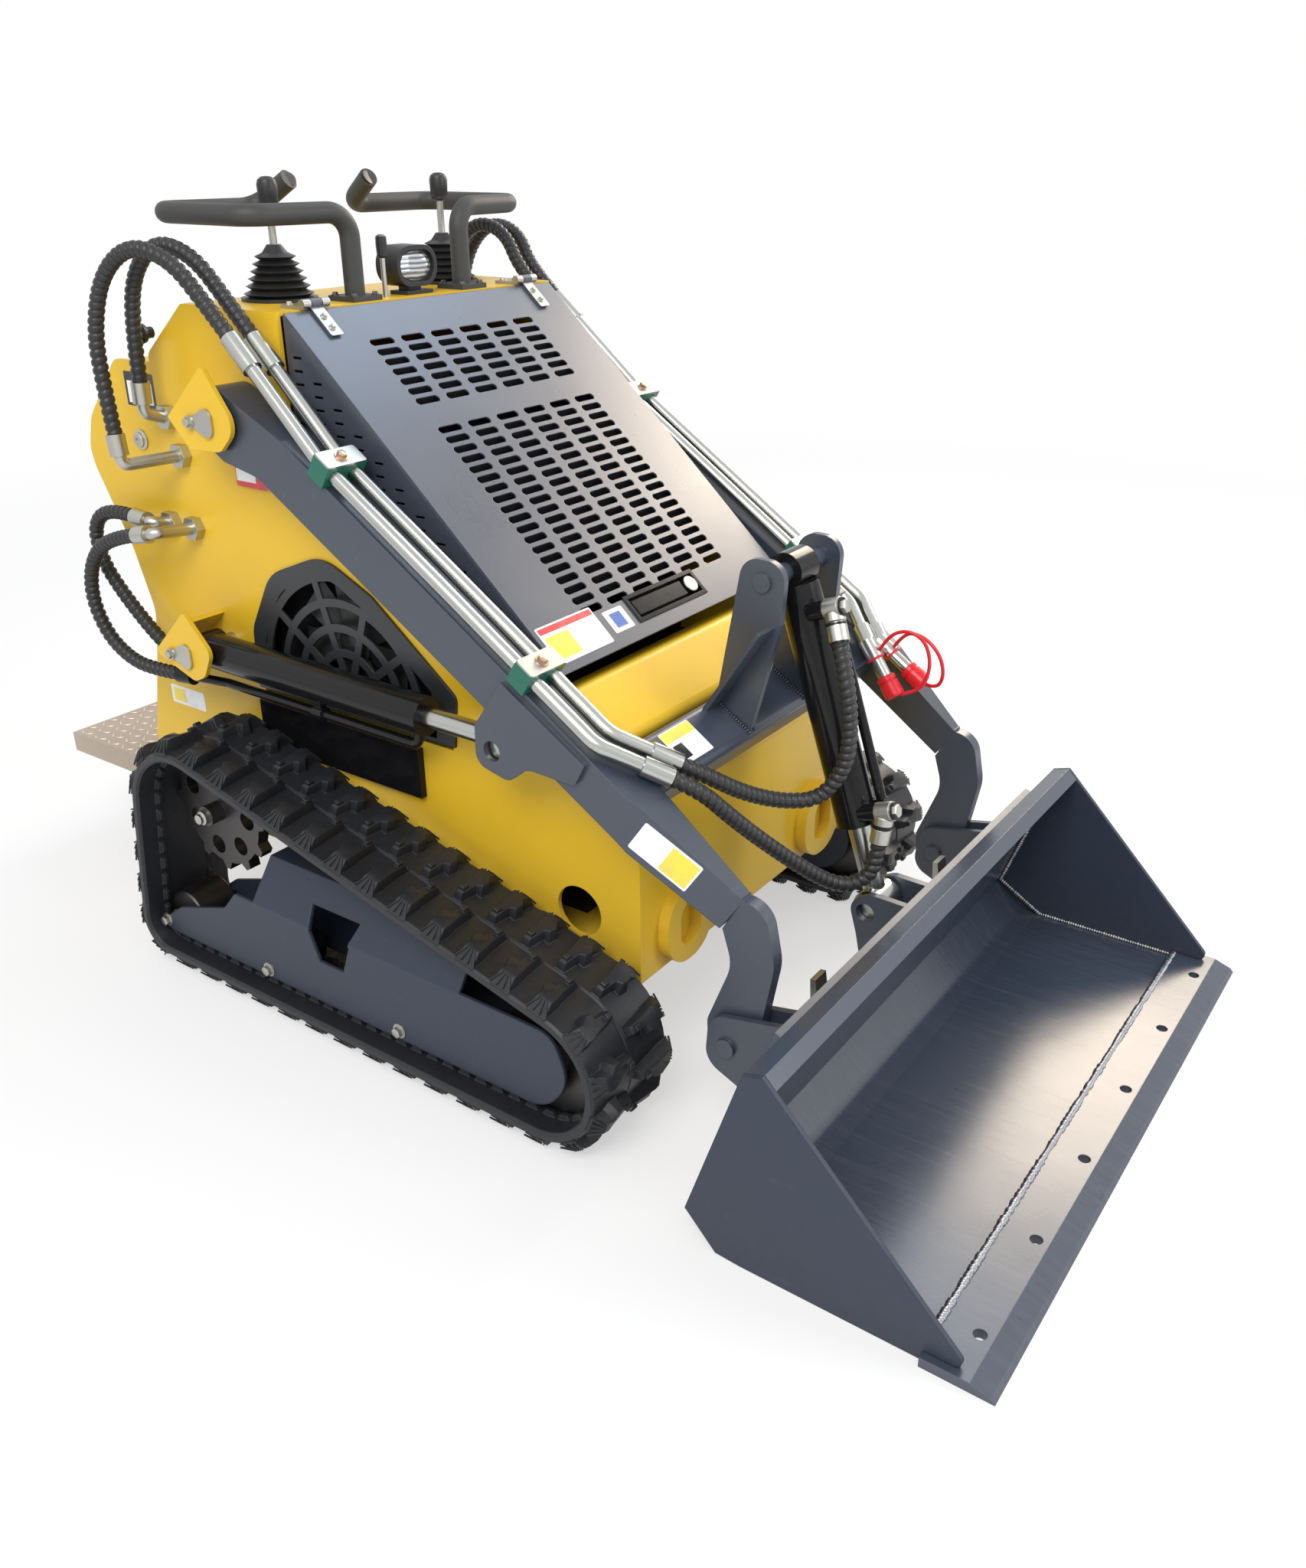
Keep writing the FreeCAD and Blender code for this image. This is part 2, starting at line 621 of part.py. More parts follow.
start_y = -number(track_inner_y) - width
belt = loop_face(belt_out).cut(loop_face(belt_in)).extrude(V(0, width, 0))
belt.translate(V(0, start_y, 0))
rows = ((start_y + width * 0.26, width * 0.5, 0.0), (start_y + width * 0.74, width * 0.5, 0.5))
lug_shapes = [lug((i + phase) * pitch, y, across, pitch * 0.46, pitch * 0.3)
              for y, across, phase in rows for i in range(lugs)]
track = doc.addObject("Part::Feature", "track_right")
track.Shape = belt.fuse(lug_shapes)
pair("track", track)
print("track loop", round(total), "pitch", round(pitch, 1), "volume", round(track.Shape.Volume / 1e6, 2))


def wheel(label, x, z, radius, half, hub_radius, hub_half):
    """A roller with a raised hub on a shaft through it."""
    body = doc.addObject("PartDesign::Body", label)
    sketch = sketch_in(body, "flat", label + "_half", [[
        (0, -hub_half), (hub_radius, -hub_half), (hub_radius, -half), (radius - 3, -half), (radius, 3 - half),
        (radius, half - 3), (radius - 3, half), (hub_radius, half), (hub_radius, hub_half), (0, hub_half)]])
    turn = body.newObject("PartDesign::Revolution", label + "_turn")
    turn.Profile = sketch
    turn.ReferenceAxis = (sketch, ["V_Axis"])
    turn.Angle = 360
    place(body, x, -middle_y, z)
    return body


idler = wheel("idler_wheel", idler_x, idler_z, idler_radius, 38, 30, frame_half)
rollers = [idler, wheel("rear_roller", rear_roller_x, rear_roller_z, rear_roller_radius, 38, 18, frame_half)]
for i, x in enumerate((-403, -275, -118, 39, 180)):
    rollers.append(wheel("road_roller_%d" % i, x, road_roller_z, road_roller_radius, 40, 16, frame_half))
pair("rollers", together("rollers_right", rollers))

# Sprocket: a toothed disc with a ring of round holes
sprocket = doc.addObject("PartDesign::Body", "sprocket_disc")
disc = sketch_in(sprocket, "side", "disc_outline", circles=[(0, 0, sprocket_radius - 14)])
pad = sprocket.newObject("PartDesign::Pad", "disc_pad")
pad.Profile = disc
pad.Length = 22
tooth_sketch = sketch_in(sprocket, "side", "tooth_outline", [[
    (sprocket_radius - 20, -14), (sprocket_radius, -6), (sprocket_radius, 6), (sprocket_radius - 20, 14)]])
tooth = sprocket.newObject("PartDesign::Pad", "tooth_pad")
tooth.Profile = tooth_sketch
tooth.Length = 22
teeth = sprocket.newObject("PartDesign::PolarPattern", "teeth")
teeth.Originals = [tooth]
teeth.Axis = (disc, ["N_Axis"])
teeth.Angle = 360
teeth.Occurrences = 12
sprocket.Tip = teeth
doc.recompute()
solid_volume = sprocket.Shape.Volume
hole_sketch = sketch_in(sprocket, "side", "hole_outline", circles=[(sprocket_radius - 42, 0, 17)])
hole = sprocket.newObject("PartDesign::Pocket", "hole_pocket")
hole.Profile = hole_sketch
hole.Type = "ThroughAll"
hole.Midplane = True
holes = sprocket.newObject("PartDesign::PolarPattern", "holes")
holes.Originals = [hole]
holes.Axis = (disc, ["N_Axis"])
holes.Angle = 360
holes.Occurrences = 7
sprocket.Tip = holes
doc.recompute()
print("sprocket volume with and without holes", round(sprocket.Shape.Volume), round(solid_volume))
place(sprocket, sprocket_x, 11 - middle_y, sprocket_z)
nut = bar("hub_nut", "y", sprocket_x, -middle_y - 39, sprocket_z, 18, 28)
pair("sprocket", fuse("sprocket_right", [sprocket, nut]))
motor_body = bar("motor_body", "y", sprocket_x, 11 - middle_y, sprocket_z, 62, middle_y - 11 - half_width_chassis)
both("drive_motors", motor_body)

# Track frame: cover and inner plate held apart by a folded top, and two tubes to the chassis
rim_line = [(rear_roller_x - 42, rear_roller_z - 12, 16), (rear_roller_x - 18, 58, 14), (idler_x + 2, 58, 70),
            (idler_x + 50, idler_z - 14, 60), (idler_x + 20, idler_z + 62, 40), (idler_x - 50, 200),
            (-56, 200), (-76, 146, 14), (-136, 146, 14), (-156, 200), (-337, 200),
            (-372, 160, 30), (rear_roller_x + 20, 118)]
inner_line = [(rear_roller_x - 42, rear_roller_z - 12, 16), (rear_roller_x - 18, 58, 14), (idler_x + 2, 58, 70),
              (idler_x + 50, idler_z - 14, 60), (idler_x + 20, idler_z + 62, 40), (idler_x - 120, 250),
              (idler_x - 160, 262), (-290, 262), (-372, 160, 30), (rear_roller_x + 20, 118)]
cover_plate = plate("cover_plate", "side", -frame_outer_y, frame_wall, rim_line)
inner_plate = plate("inner_plate", "side", -frame_inner_y - frame_wall, frame_wall, inner_line)
fold = plate("frame_fold", "front", -290, idler_x - 160 + 290,
             [(-frame_outer_y, 194), (-frame_outer_y, 200), (-frame_outer_y + 50, 268), (-frame_inner_y, 268),
              (-frame_inner_y, 262), (-frame_outer_y + 53, 262), (-frame_outer_y + 6, 197), (-frame_outer_y + 6, 194)])
notch = plate("frame_notch", "side", -frame_outer_y - 1, 40,
              [(-50, 230), (-78, 140), (-134, 140), (-162, 230)])
tubes = [bar("cross_bar_%d" % i, "y", x, -frame_inner_y, 232, 30, frame_inner_y - half_width_chassis)
         for i, x in enumerate((-180, 200))]
pair("track_frame", fuse("track_frame_right", [cut("frame_shell", fuse("frame_plates",
     [cover_plate, inner_plate, fold]), [notch])] + tubes))


# Lift arms: a box tube down to a knee, then a narrow plate leg to the bucket pin
arm_width = arm_outer_y - arm_inner_y
eye = 44
tube_line = [(arm_pivot_x + 146.4, arm_pivot_z - 13.6), (arm_pivot_x - 13, arm_pivot_z + 62.2, 40),
             (arm_pivot_x - 62.3, arm_pivot_z - 13, 40), (arm_pivot_x + 8.9, arm_pivot_z - 59.5, 20),
             (arm_pivot_x + 82.7, arm_pivot_z - 74.4, 60), (bucket_pin_x - 174, bucket_pin_z + 296, 20),
             (bucket_pin_x - 158, bucket_pin_z + 285, 30), (bucket_pin_x - 19, bucket_pin_z + 188),
             (bucket_pin_x + 14, bucket_pin_z + 238), (bucket_pin_x - 125, bucket_pin_z + 348, 20)]
arm_tube = plate("arm_tube", "side", -arm_outer_y, arm_width, tube_line,
                 circles=[(arm_pivot_x, arm_pivot_z, pin_radius + pin_gap)])
leg_line = [(bucket_pin_x - 19, bucket_pin_z + 184), (bucket_pin_x - 2, bucket_pin_z + 130, 60),
            (bucket_pin_x - 42, bucket_pin_z + 24, 30), (bucket_pin_x - 38, bucket_pin_z - 38, 38),
            (bucket_pin_x + 38, bucket_pin_z - 38, 38), (bucket_pin_x + 50, bucket_pin_z + 60, 60),
            (bucket_pin_x + 66, bucket_pin_z + 150, 80), (bucket_pin_x + 44, bucket_pin_z + 258, 40),
            (bucket_pin_x + 14, bucket_pin_z + 242)]
arm_leg = plate("arm_leg", "side", -leg_outer_y, leg_outer_y - arm_inner_y, leg_line,
                circles=[(bucket_pin_x, bucket_pin_z, pin_radius + pin_gap)])
taper = plate("leg_taper", "flat", bucket_pin_z + 100, 400,
              [(bucket_pin_x - 150, -arm_outer_y - 1), (bucket_pin_x + 80, -arm_outer_y - 1),
               (bucket_pin_x + 80, -leg_outer_y), (bucket_pin_x + 10, -leg_outer_y),
               (bucket_pin_x - 150, -arm_outer_y)])

# Rod brackets under the arms, with a short pin held by the rod's eye between the plates
rod_bracket = [(lift_rod_x + 24, lift_rod_z + 110), (lift_rod_x - 30, lift_rod_z + 34, 14),
               (lift_rod_x - 32, lift_rod_z - 26, 24), (lift_rod_x + 30, lift_rod_z - 40, 24),
               (lift_rod_x + 65, lift_rod_z - 11, 30), (lift_rod_x + 150, lift_rod_z - 14, 10),
               (lift_rod_x + 168, lift_rod_z + 20)]
rod_plate = plate("rod_plate", "side", -arm_outer_y - bracket_wall, bracket_wall, rod_bracket,
                  circles=[(lift_rod_x, lift_rod_z, pin_radius + pin_gap)])
pair("arm", fuse("arm_right", [cut("arm_tapered", fuse("arm_blank", [arm_tube, arm_leg]), [taper]), rod_plate]))

# Cross tube between the knees, flush with the arms' tops, with the tilt cylinder's bracket on it
arm_back = (arm_pivot_x, arm_pivot_z)
arm_fore = (bucket_pin_x - 125, bucket_pin_z + 263)


def on_arm(along, offset):
    """A point along the line of the arm's box tube and above it."""
    return between(arm_back, arm_fore, along, offset)


cross_back = size("cross_back", 801, "arm pin to the cross tube's rear face")
cross_long = size("cross_long", 87, "cross tube along the arm")
cross_deep = size("cross_deep", 62, "cross tube's depth")
cross_top = size("cross_top", 63, "cross tube's top above the pin line")
cross_ring = [on_arm(cross_back, cross_top - cross_deep), on_arm(cross_back + cross_long, cross_top - cross_deep),
              on_arm(cross_back + cross_long, cross_top), on_arm(cross_back, cross_top)]
cross_bore = [on_arm(cross_back + 7, cross_top - cross_deep + 7),
              on_arm(cross_back + cross_long - 7, cross_top - cross_deep + 7),
              on_arm(cross_back + cross_long - 7, cross_top - 7), on_arm(cross_back + 7, cross_top - 7)]
finish(plate("cross_blank", "side", -arm_inner_y, arm_inner_y * 2, [(x, z, 12) for x, z in cross_ring],
             loops=[[(x, z, 5) for x, z in cross_bore]]), "cross_tube")
ear_line = [(tilt_base_x - 34, tilt_base_z + 34, 32), (tilt_base_x + 38, tilt_base_z + 32, 30),
            (tilt_base_x + 32, tilt_base_z - 60), on_arm(cross_back + cross_long - 8, cross_top),
            on_arm(cross_back + 6, cross_top)]
ears = [plate("tilt_ear_%d" % i, "side", y, tilt_wall, ear_line)
        for i, y in enumerate((-tilt_gap_half - tilt_wall, tilt_gap_half))]
rib_line = [on_arm(cross_back + 8, cross_top), on_arm(cross_back + 16, cross_top),
            (tilt_base_x + 22, tilt_base_z - 66), (tilt_base_x + 16, tilt_base_z - 62)]
ribs = [plate("tilt_rib_%d" % i, "side", y, 40, rib_line)
        for i, y in enumerate((-tilt_gap_half - tilt_wall - 40, tilt_gap_half + tilt_wall))]
tilt_pin = bar("tilt_base_pin", "y", tilt_base_x, -tilt_gap_half - tilt_wall - 5, tilt_base_z, pin_radius,
               (tilt_gap_half + tilt_wall + 5) * 2)
finish(fuse("tilt_bracket_all", ears + ribs + [tilt_pin]), "tilt_bracket")


def cylinder(label, base, tip, y, barrel_radius, barrel_length, rod_radius, width, extras=()):
    """A bored barrel and a rod that runs inside it, along the line between two pins."""
    run, rise = tip[0] - base[0], tip[1] - base[1]
    slope = math.degrees(math.atan2(number(rise), number(run)))
    reach = root(run * run + rise * rise)
    made = []
    for kind, start, radius, length in (("barrel", 24, barrel_radius, barrel_length - 24),
                                        ("bore", rod_start - 26, rod_radius + rod_gap, barrel_length),
                                        ("rod", rod_start, rod_radius, reach - rod_start - 25)):
        body = doc.addObject("PartDesign::Body", "%s_%s_line" % (label, kind))
        sketch = sketch_in(body, "front", "%s_%s_ring" % (label, kind), circles=[(0, 0, radius)])
        pad = body.newObject("PartDesign::Pad", "%s_%s_pad" % (label, kind))
        pad.Profile = sketch
        bind(pad, "Length", length)
        shift = doc.addObject("Part::Compound", "%s_%s_set" % (label, kind))
        place(body, start, 0, 0)
        shift.Links = [body]
        shift.Placement = FreeCAD.Placement(V(), FreeCAD.Rotation(V(0, -1, 0), slope))
        bind(shift, "Placement.Rotation.Angle", angle_of(rise, run))
        place(shift, base[0], y, base[1])
        made.append(shift)
    eyes = []
    for kind, spot in (("base", base), ("tip", tip)):
        solid = bar("%s_%s_boss" % (label, kind), "y", spot[0], y - width / 2, spot[1], eye_radius, width)
        eyes.append(solid)
    pin_hole = bar(label + "_base_bore", "y", base[0], y - width, base[1], pin_radius + pin_gap, width * 2)
    barrel = cut(label + "_barrel", fuse(label + "_barrel_solid", [made[0], eyes[0]] + list(extras)),
                 [pin_hole, made[1]])
    return barrel, made[2], eyes[1]


def from_lift(x, y, z):
    """A point given from the lift cylinder's base pin on the right."""
    return V(number(lift_base_x) + x, y - number(lift_y), number(lift_base_z) + z)


lift_long = number(lift_barrel_length)
lift_low = -number(lift_barrel_radius)
lift_line = tube("lift_pipe", [from_lift(-71, -16, -57), from_lift(40, 0, -55), from_lift(lift_long - 25, 0, -56),
                               from_lift(lift_long - 20, 0, lift_low + 6)], 8, 12)
lift_collar = stub("lift_collar", from_lift(-71, -16, -57), from_lift(40, 0, -55), 15, 34)
lift_inlet = tube("lift_inlet", [from_lift(-68, 12, -33), from_lift(-26, 12, -33), from_lift(-14, 12, -14)], 10, 12)
lift_inlet_collar = stub("lift_inlet_collar", from_lift(-68, 12, -33), from_lift(-26, 12, -33), 15, 30)
lift_clip = bar("lift_clip", "x", lift_base_x + lift_barrel_length / 2, -lift_y, lift_base_z - 55, 12, 24)
lift_post = block("lift_post", lift_base_x + lift_barrel_length / 2 + 4, -lift_y - 6, lift_base_z - 50, 16, 12, 26)
barrel, rod_line, rod_eye = cylinder("lift", (lift_base_x, lift_base_z), (lift_rod_x, lift_rod_z), -lift_y,
                                     lift_barrel_radius, lift_barrel_length, lift_rod_radius, 50,
                                     [lift_line, lift_collar, lift_inlet, lift_inlet_collar, lift_clip, lift_post])
pair("lift_barrel", barrel)
rod_pin = bar("lift_rod_pin", "y", lift_rod_x, -lift_y - 29, lift_rod_z, pin_radius, 60)
pair("lift_rod", fuse("lift_rod_right", [rod_line, rod_eye, rod_pin]))

tilt_back, tilt_front = (tilt_base_x, tilt_base_z), (tilt_rod_x, tilt_rod_z)


def on_tilt(along, y, offset):
    x, z = between(tilt_back, tilt_front, along, offset)
    return V(number(x), y, number(z))


tilt_ports = []
port_leads = []
for name, along, y, hose_end in (("upper", 66, -20, V(548, -36, 696)), ("lower", 389, -16, V(628, -24, 385))):
    elbow = on_tilt(along, y, 62)
    port_leads.append([hose_end + (hose_end - elbow).normalize() * 42, hose_end])
    tilt_ports += [stub(name + "_bolt", on_tilt(along, y, 20), elbow, 14, 60),
                   stub(name + "_drop", elbow, hose_end, 10, (hose_end - elbow).Length),
                   stub(name + "_collar", hose_end, elbow, 15, 30)]
tilt_ports += [line_bar("tilt_pipe", tilt_back, tilt_front, 16, 96, 42, 8, 300)]
tilt_ports += [plate("tilt_saddle_%d" % i, "side", 8, 16, [
    between(tilt_back, tilt_front, along, 24), between(tilt_back, tilt_front, along + 22, 24),
    between(tilt_back, tilt_front, along + 22, 50), between(tilt_back, tilt_front, along, 50)])
    for i, along in enumerate((90, 378))]
barrel, rod_line, rod_eye = cylinder("tilt", tilt_back, tilt_front, 0, tilt_barrel_radius, tilt_barrel_length,
                                     tilt_rod_radius, tilt_eye_half * 2, tilt_ports)
finish(barrel, "tilt_barrel")
rod_pin = bar("tilt_rod_pin", "y", tilt_rod_x, 1 - rod_gap_half, tilt_rod_z, pin_radius, (rod_gap_half - 1) * 2)
finish(fuse("tilt_rod_all", [rod_line, rod_eye, rod_pin]), "tilt_rod")

# Quick attach: a plate behind the bucket with ears round the arm legs and the tilt rod
back_top = (bucket_pin_x + 130, bucket_pin_z + 119)
back_low = (bucket_pin_x + 46, bucket_pin_z - 138)
attach_half = size("attach_half", 440, "half of the quick attach's width")
attach_face = between(back_low, back_top, 16, 0)
a0 = between(back_low, back_top, 16, 0.5)
a1 = between(back_low, back_top, 262, 0.5)
a2 = between(back_low, back_top, 262, 12.5)
a3 = between(back_low, back_top, 16, 12.5)
attach_plate = plate("attach_plate", "side", -attach_half, attach_half * 2, [a0, a1, a2, a3])
ear_parts = []
leg_ear = [(bucket_pin_x - 36, bucket_pin_z - 36, 34), (bucket_pin_x + 20, bucket_pin_z - 60, 14),
           between(back_low, back_top, 30, 8), between(back_low, back_top, 220, 8),
           (bucket_pin_x - 30, bucket_pin_z + 44, 34)]
for i, y in enumerate((-leg_outer_y - 14, -arm_inner_y + 4, arm_inner_y - 14, leg_outer_y + 4)):
    ear_parts.append(plate("leg_ear_%d" % i, "side", y, 10, leg_ear,
                           circles=[(bucket_pin_x, bucket_pin_z, pin_radius)]))
rod_ear = [(tilt_rod_x - 30, tilt_rod_z + 14, 26), (tilt_rod_x - 14, tilt_rod_z - 40, 20),
           between(back_low, back_top, 60, 8), between(back_low, back_top, 255, 8),
           (tilt_rod_x + 8, tilt_rod_z + 34, 24)]
for i, y in enumerate((-rod_gap_half - tilt_wall, rod_gap_half)):
    ear_parts.append(plate("rod_ear_%d" % i, "side", y, tilt_wall, rod_ear,
                           circles=[(tilt_rod_x, tilt_rod_z, pin_radius + pin_gap)]))
pins = [bar("bucket_pin_%d" % i, "y", bucket_pin_x, y, bucket_pin_z, pin_radius, leg_outer_y - arm_inner_y + 40)
        for i, y in enumerate((-leg_outer_y - 20, arm_inner_y - 20))]
finish(fuse("quick_attach_all", [attach_plate] + ear_parts + pins), "quick_attach")

# Latch levers behind the quick attach: a pin housing with a bent grip
lever_parts = []
for i, y in enumerate((-212, 212)):
    housing = line_bar("latch_housing_%d" % i, back_low, back_top, y, 56, 26.5, 14, 96)
    grip_line = [between(back_low, back_top, along, offset)
                 for along, offset in ((126, 24), (146, 24), (190, 46), (186, 54), (150, 40), (126, 38))]
    lever_parts.append(fuse("latch_lever_%d" % i, [housing, plate("latch_grip_%d" % i, "side", y - 16, 32, grip_line)]))
finish(together("latch_lever_set", lever_parts), "latch_levers")

# Bucket: a bent shell between side plates, with a thick cutting edge
bucket_wall = size("bucket_wall", 8, "bucket sheet")
shell = [(back_top[0] + 46, back_top[1] - 8), (back_top[0] + 29, back_top[1] + 9), back_top, (back_low[0], back_low[1]),
         (back_low[0] + 50, bucket_wall / 2 + 0.5, 40), (back_low[0] + 89, 0.5), (edge_front_x - 100, 0.5),
         (edge_front_x - 100, bucket_wall + 0.5), (back_low[0] + 92, bucket_wall + 0.5),
         (back_low[0] + 56, bucket_wall + 4.5, 32),
         (back_low[0] + 8.6, back_low[1] + 1), (back_top[0] + 6, back_top[1] - 7.4),
         (back_top[0] + 26, back_top[1] + 0.6), (back_top[0] + 40.3, back_top[1] - 13.7)]
finish(plate("bucket_shell", "side", -half_width_bucket + bucket_wall,
             (half_width_bucket - bucket_wall) * 2, shell), "bucket_shell")
cheek = [(back_top[0] + 46, back_top[1] - 8), (back_top[0] + 29, back_top[1] + 9), back_top, back_low, (back_low[0] + 50, 3), (back_low[0] + 89, 0.5),
         (edge_front_x - 100, 0.5), (edge_front_x - 100, 16), (edge_front_x - 36, 16, 10)]
pair("bucket_side", plate("bucket_cheek", "side", -half_width_bucket, bucket_wall, cheek))
edge_bar = plate("edge_bar", "side", -half_width_edge, half_width_edge * 2,
                 [(edge_front_x - 100, 0), (edge_front_x, 0), (edge_front_x - 6, 6), (edge_front_x - 34, 15.5),
                  (edge_front_x - 100, 15.5)])
hole_step = (half_width_bucket - 64) / 2.5
edge_holes = [bar("edge_hole_%d" % i, "z", edge_front_x - 52, hole_step * (i - 2.5), -1, 9, 20) for i in range(6)]
finish(cut("edge_bored", edge_bar, edge_holes), "cutting_edge")

# Hood: slotted top and slotted sides, hinged at the console
hood_run = hood_front_x - console_front_x
hood_drop = console_z - hood_front_z
hood_length = root(hood_run * hood_run + hood_drop * hood_drop)
hood_half = chassis_inner_y - hood_gap
top_panel = doc.addObject("PartDesign::Body", "hood_top_panel")
base = sketch_in(top_panel, "flat", "hood_outline", [[
    (6, -hood_half), (hood_length, -hood_half), (hood_length, hood_half), (6, hood_half)]])
pad = top_panel.newObject("PartDesign::Pad", "hood_pad")
pad.Profile = base
bind(pad, "Length", hood_wall)
slot_half = size("slot_half", 25, "half of a hood slot's length")
slot_wide = size("slot_wide", 6.2, "half of a hood slot's width")
slot_step = size("slot_step", 20, "hood slots down the slope")
slot_row = size("slot_row", 67, "hood slots across")


def pocket_rows(body, plane, name, loops, step, count, direction=None):
    """Openings cut through a panel and repeated at even steps."""
    sketch = sketch_in(body, plane, name + "_outline", loops)
    if direction:
        sketch.addGeometry(Part.LineSegment(V(0, 0, 0), V(number(direction[0]), number(direction[1]), 0)), True)
    pocket = body.newObject("PartDesign::Pocket", name + "_pocket")
    pocket.Profile = sketch
    pocket.Type = "ThroughAll"
    pocket.Midplane = True
    rows = body.newObject("PartDesign::LinearPattern", name + "_rows")
    rows.Originals = [pocket]
    rows.Direction = (sketch, ["Axis0" if direction else "H_Axis"])
    rows.Occurrences = count
    rows.Length = number(step) * (count - 1)
    bind(rows, "Length", step * (count - 1))
    body.Tip = rows


def slot_line(s, y):
    """A slot across the slope with its corners cut off."""
    nip = slot_wide - 2.2
    ring = [(-1, -1, 0, 1), (-1, 1, 0, -1), (-1, 1, 1, 0), (1, 1, -1, 0), (1, 1, 0, -1), (1, -1, 0, 1),
            (1, -1, -1, 0), (-1, -1, 1, 0)]
    return [(s + slot_wide * a + nip * c, y + slot_half * b + nip * d) for a, b, c, d in ring]


lower_count = int((number(hood_length) - 259 - 70) / number(slot_step)) + 1
for name, start, count in (("upper_slots", 81, 7), ("lower_slots", 259, lower_count)):
    pocket_rows(top_panel, "flat", name, [slot_line(Size(start, "%d" % start), slot_row * (i - 2.5)) for i in range(6)],
                slot_step, count)
latch_s = hood_length - 49
hatch = sketch_in(top_panel, "flat", "latch_outline", [[
    (latch_s - 21, -90), (latch_s + 21, -90), (latch_s + 21, 90), (latch_s - 21, 90)]])
opening = top_panel.newObject("PartDesign::Pocket", "latch_pocket")
opening.Profile = hatch
opening.Type = "ThroughAll"
opening.Midplane = True


def on_hood(label, item):
    """A piece made flat and laid on the hood's slope."""
    laid = doc.addObject("Part::Compound", label)
    laid.Links = [item]
    laid.Placement = FreeCAD.Placement(V(), FreeCAD.Rotation(V(0, 1, 0), 42))
    bind(laid, "Placement.Rotation.Angle", angle_of(hood_drop, hood_run))
    place(laid, console_front_x, 0, console_z)
    return laid


turned = on_hood("hood_top_turned", top_panel)
# Latch: a tray let into the hood, a paddle and a round lock
tray = block("latch_tray", latch_s - 20, -89, -13, 40, 178, hood_wall + 13)
rim_plate = block("latch_rim", latch_s - 25, -94, hood_wall, 50, 188, 2)
well = block("latch_well", latch_s - 18, -87, -11, 36, 174, 30)
paddle = block("latch_paddle", latch_s - 13, -82, -12, 26, 132, hood_wall + 13)
lock = bar("latch_lock", "z", latch_s, 68, -12, 14, hood_wall + 15)
finish(on_hood("hood_latch_laid", fuse("latch_all", [
    cut("latch_box", fuse("latch_shell", [tray, rim_plate]), [well]), paddle, lock])), "hood_latch")
hood_rear, hood_nose = (console_front_x, console_z), (hood_front_x, hood_front_z)
hinge_radius = size("hinge_radius", 7, "hood hinge knuckles")
hinge_pin = size("hinge_pin", 4, "hood and platform hinge pins")
hinge_x, hinge_z = between(hood_rear, hood_nose, -2, hood_wall + 6)
hood_parts, console_parts = [turned], []
for i, y in enumerate((-255, 235)):
    leaf = plate("hood_leaf_%d" % i, "side", y, 20,
                 [between(hood_rear, hood_nose, 2, hood_wall), between(hood_rear, hood_nose, 58, hood_wall),
                  between(hood_rear, hood_nose, 58, hood_wall + 4), between(hood_rear, hood_nose, 2, hood_wall + 4)])
    knuckle = bar("hood_knuckle_%d" % i, "y", hinge_x, y, hinge_z, hinge_radius, 20)
    bore = bar("hood_bore_%d" % i, "y", hinge_x, y - 1, hinge_z, hinge_pin + pin_gap, 22)
    hood_parts.append(cut("hood_hinge_%d" % i, fuse("hood_hinge_solid_%d" % i, [leaf, knuckle]), [bore]))
    foot = block("hinge_foot_%d" % i, hinge_x - 48, y - 16, console_z, 40, 52, 5)
    sides = [bar("console_knuckle_%d_%d" % (i, k), "y", hinge_x, start, hinge_z, hinge_radius, 14.5)
             for k, start in enumerate((y - 16, y + 21.5))]
    webs = [block("hinge_web_%d_%d" % (i, k), hinge_x - 10, start, console_z, 10, 14.5, 5)
            for k, start in enumerate((y - 16, y + 21.5))]
    console_parts.append(fuse("console_hinge_%d" % i, [foot] + sides + webs + [
        bar("hinge_pin_%d" % i, "y", hinge_x, y - 16, hinge_z, hinge_pin, 52)]))
finish(fuse("hood_top_all", hood_parts), "hood_top")
finish(together("hood_hinges_all", console_parts), "hood_hinges")
ux, uz = hood_run / hood_length, hood_drop / hood_length
panel_line = [(console_front_x + ux * 6, console_z - uz * 6 - 0.2),
              (console_front_x + ux * hood_length, console_z - uz * hood_length),
              (hood_front_x - 24, hood_front_z - 28), (console_front_x + 3, console_z - 246),
              (console_front_x + 3, console_z - 8)]
side_panel = plate("hood_side_panel", "side", -hood_half, hood_wall, panel_line)
vent_x = size("vent_x", 38.5, "hood side slots, column to column")
vent_z = size("vent_z", 19.5, "hood side slots, row to row")
vent_drop = vent_x * hood_drop / hood_run
for name, first, rows_here, columns in (("high_vents", 0, 3, 10), ("low_vents", 3, 3, 6)):
    slits = []
    for k in range(first, first + rows_here):
        x, z = console_front_x + 25, console_z - 64 - vent_z * k
        slits.append([(x - 9.5, z - 2), (x + 9.5, z - 2), (x + 9.5, z + 2), (x - 9.5, z + 2)])
    pocket_rows(side_panel, "side", name, slits, root(vent_x * vent_x + vent_drop * vent_drop), columns,
                (vent_x, -vent_drop))
pair("hood_side", side_panel)

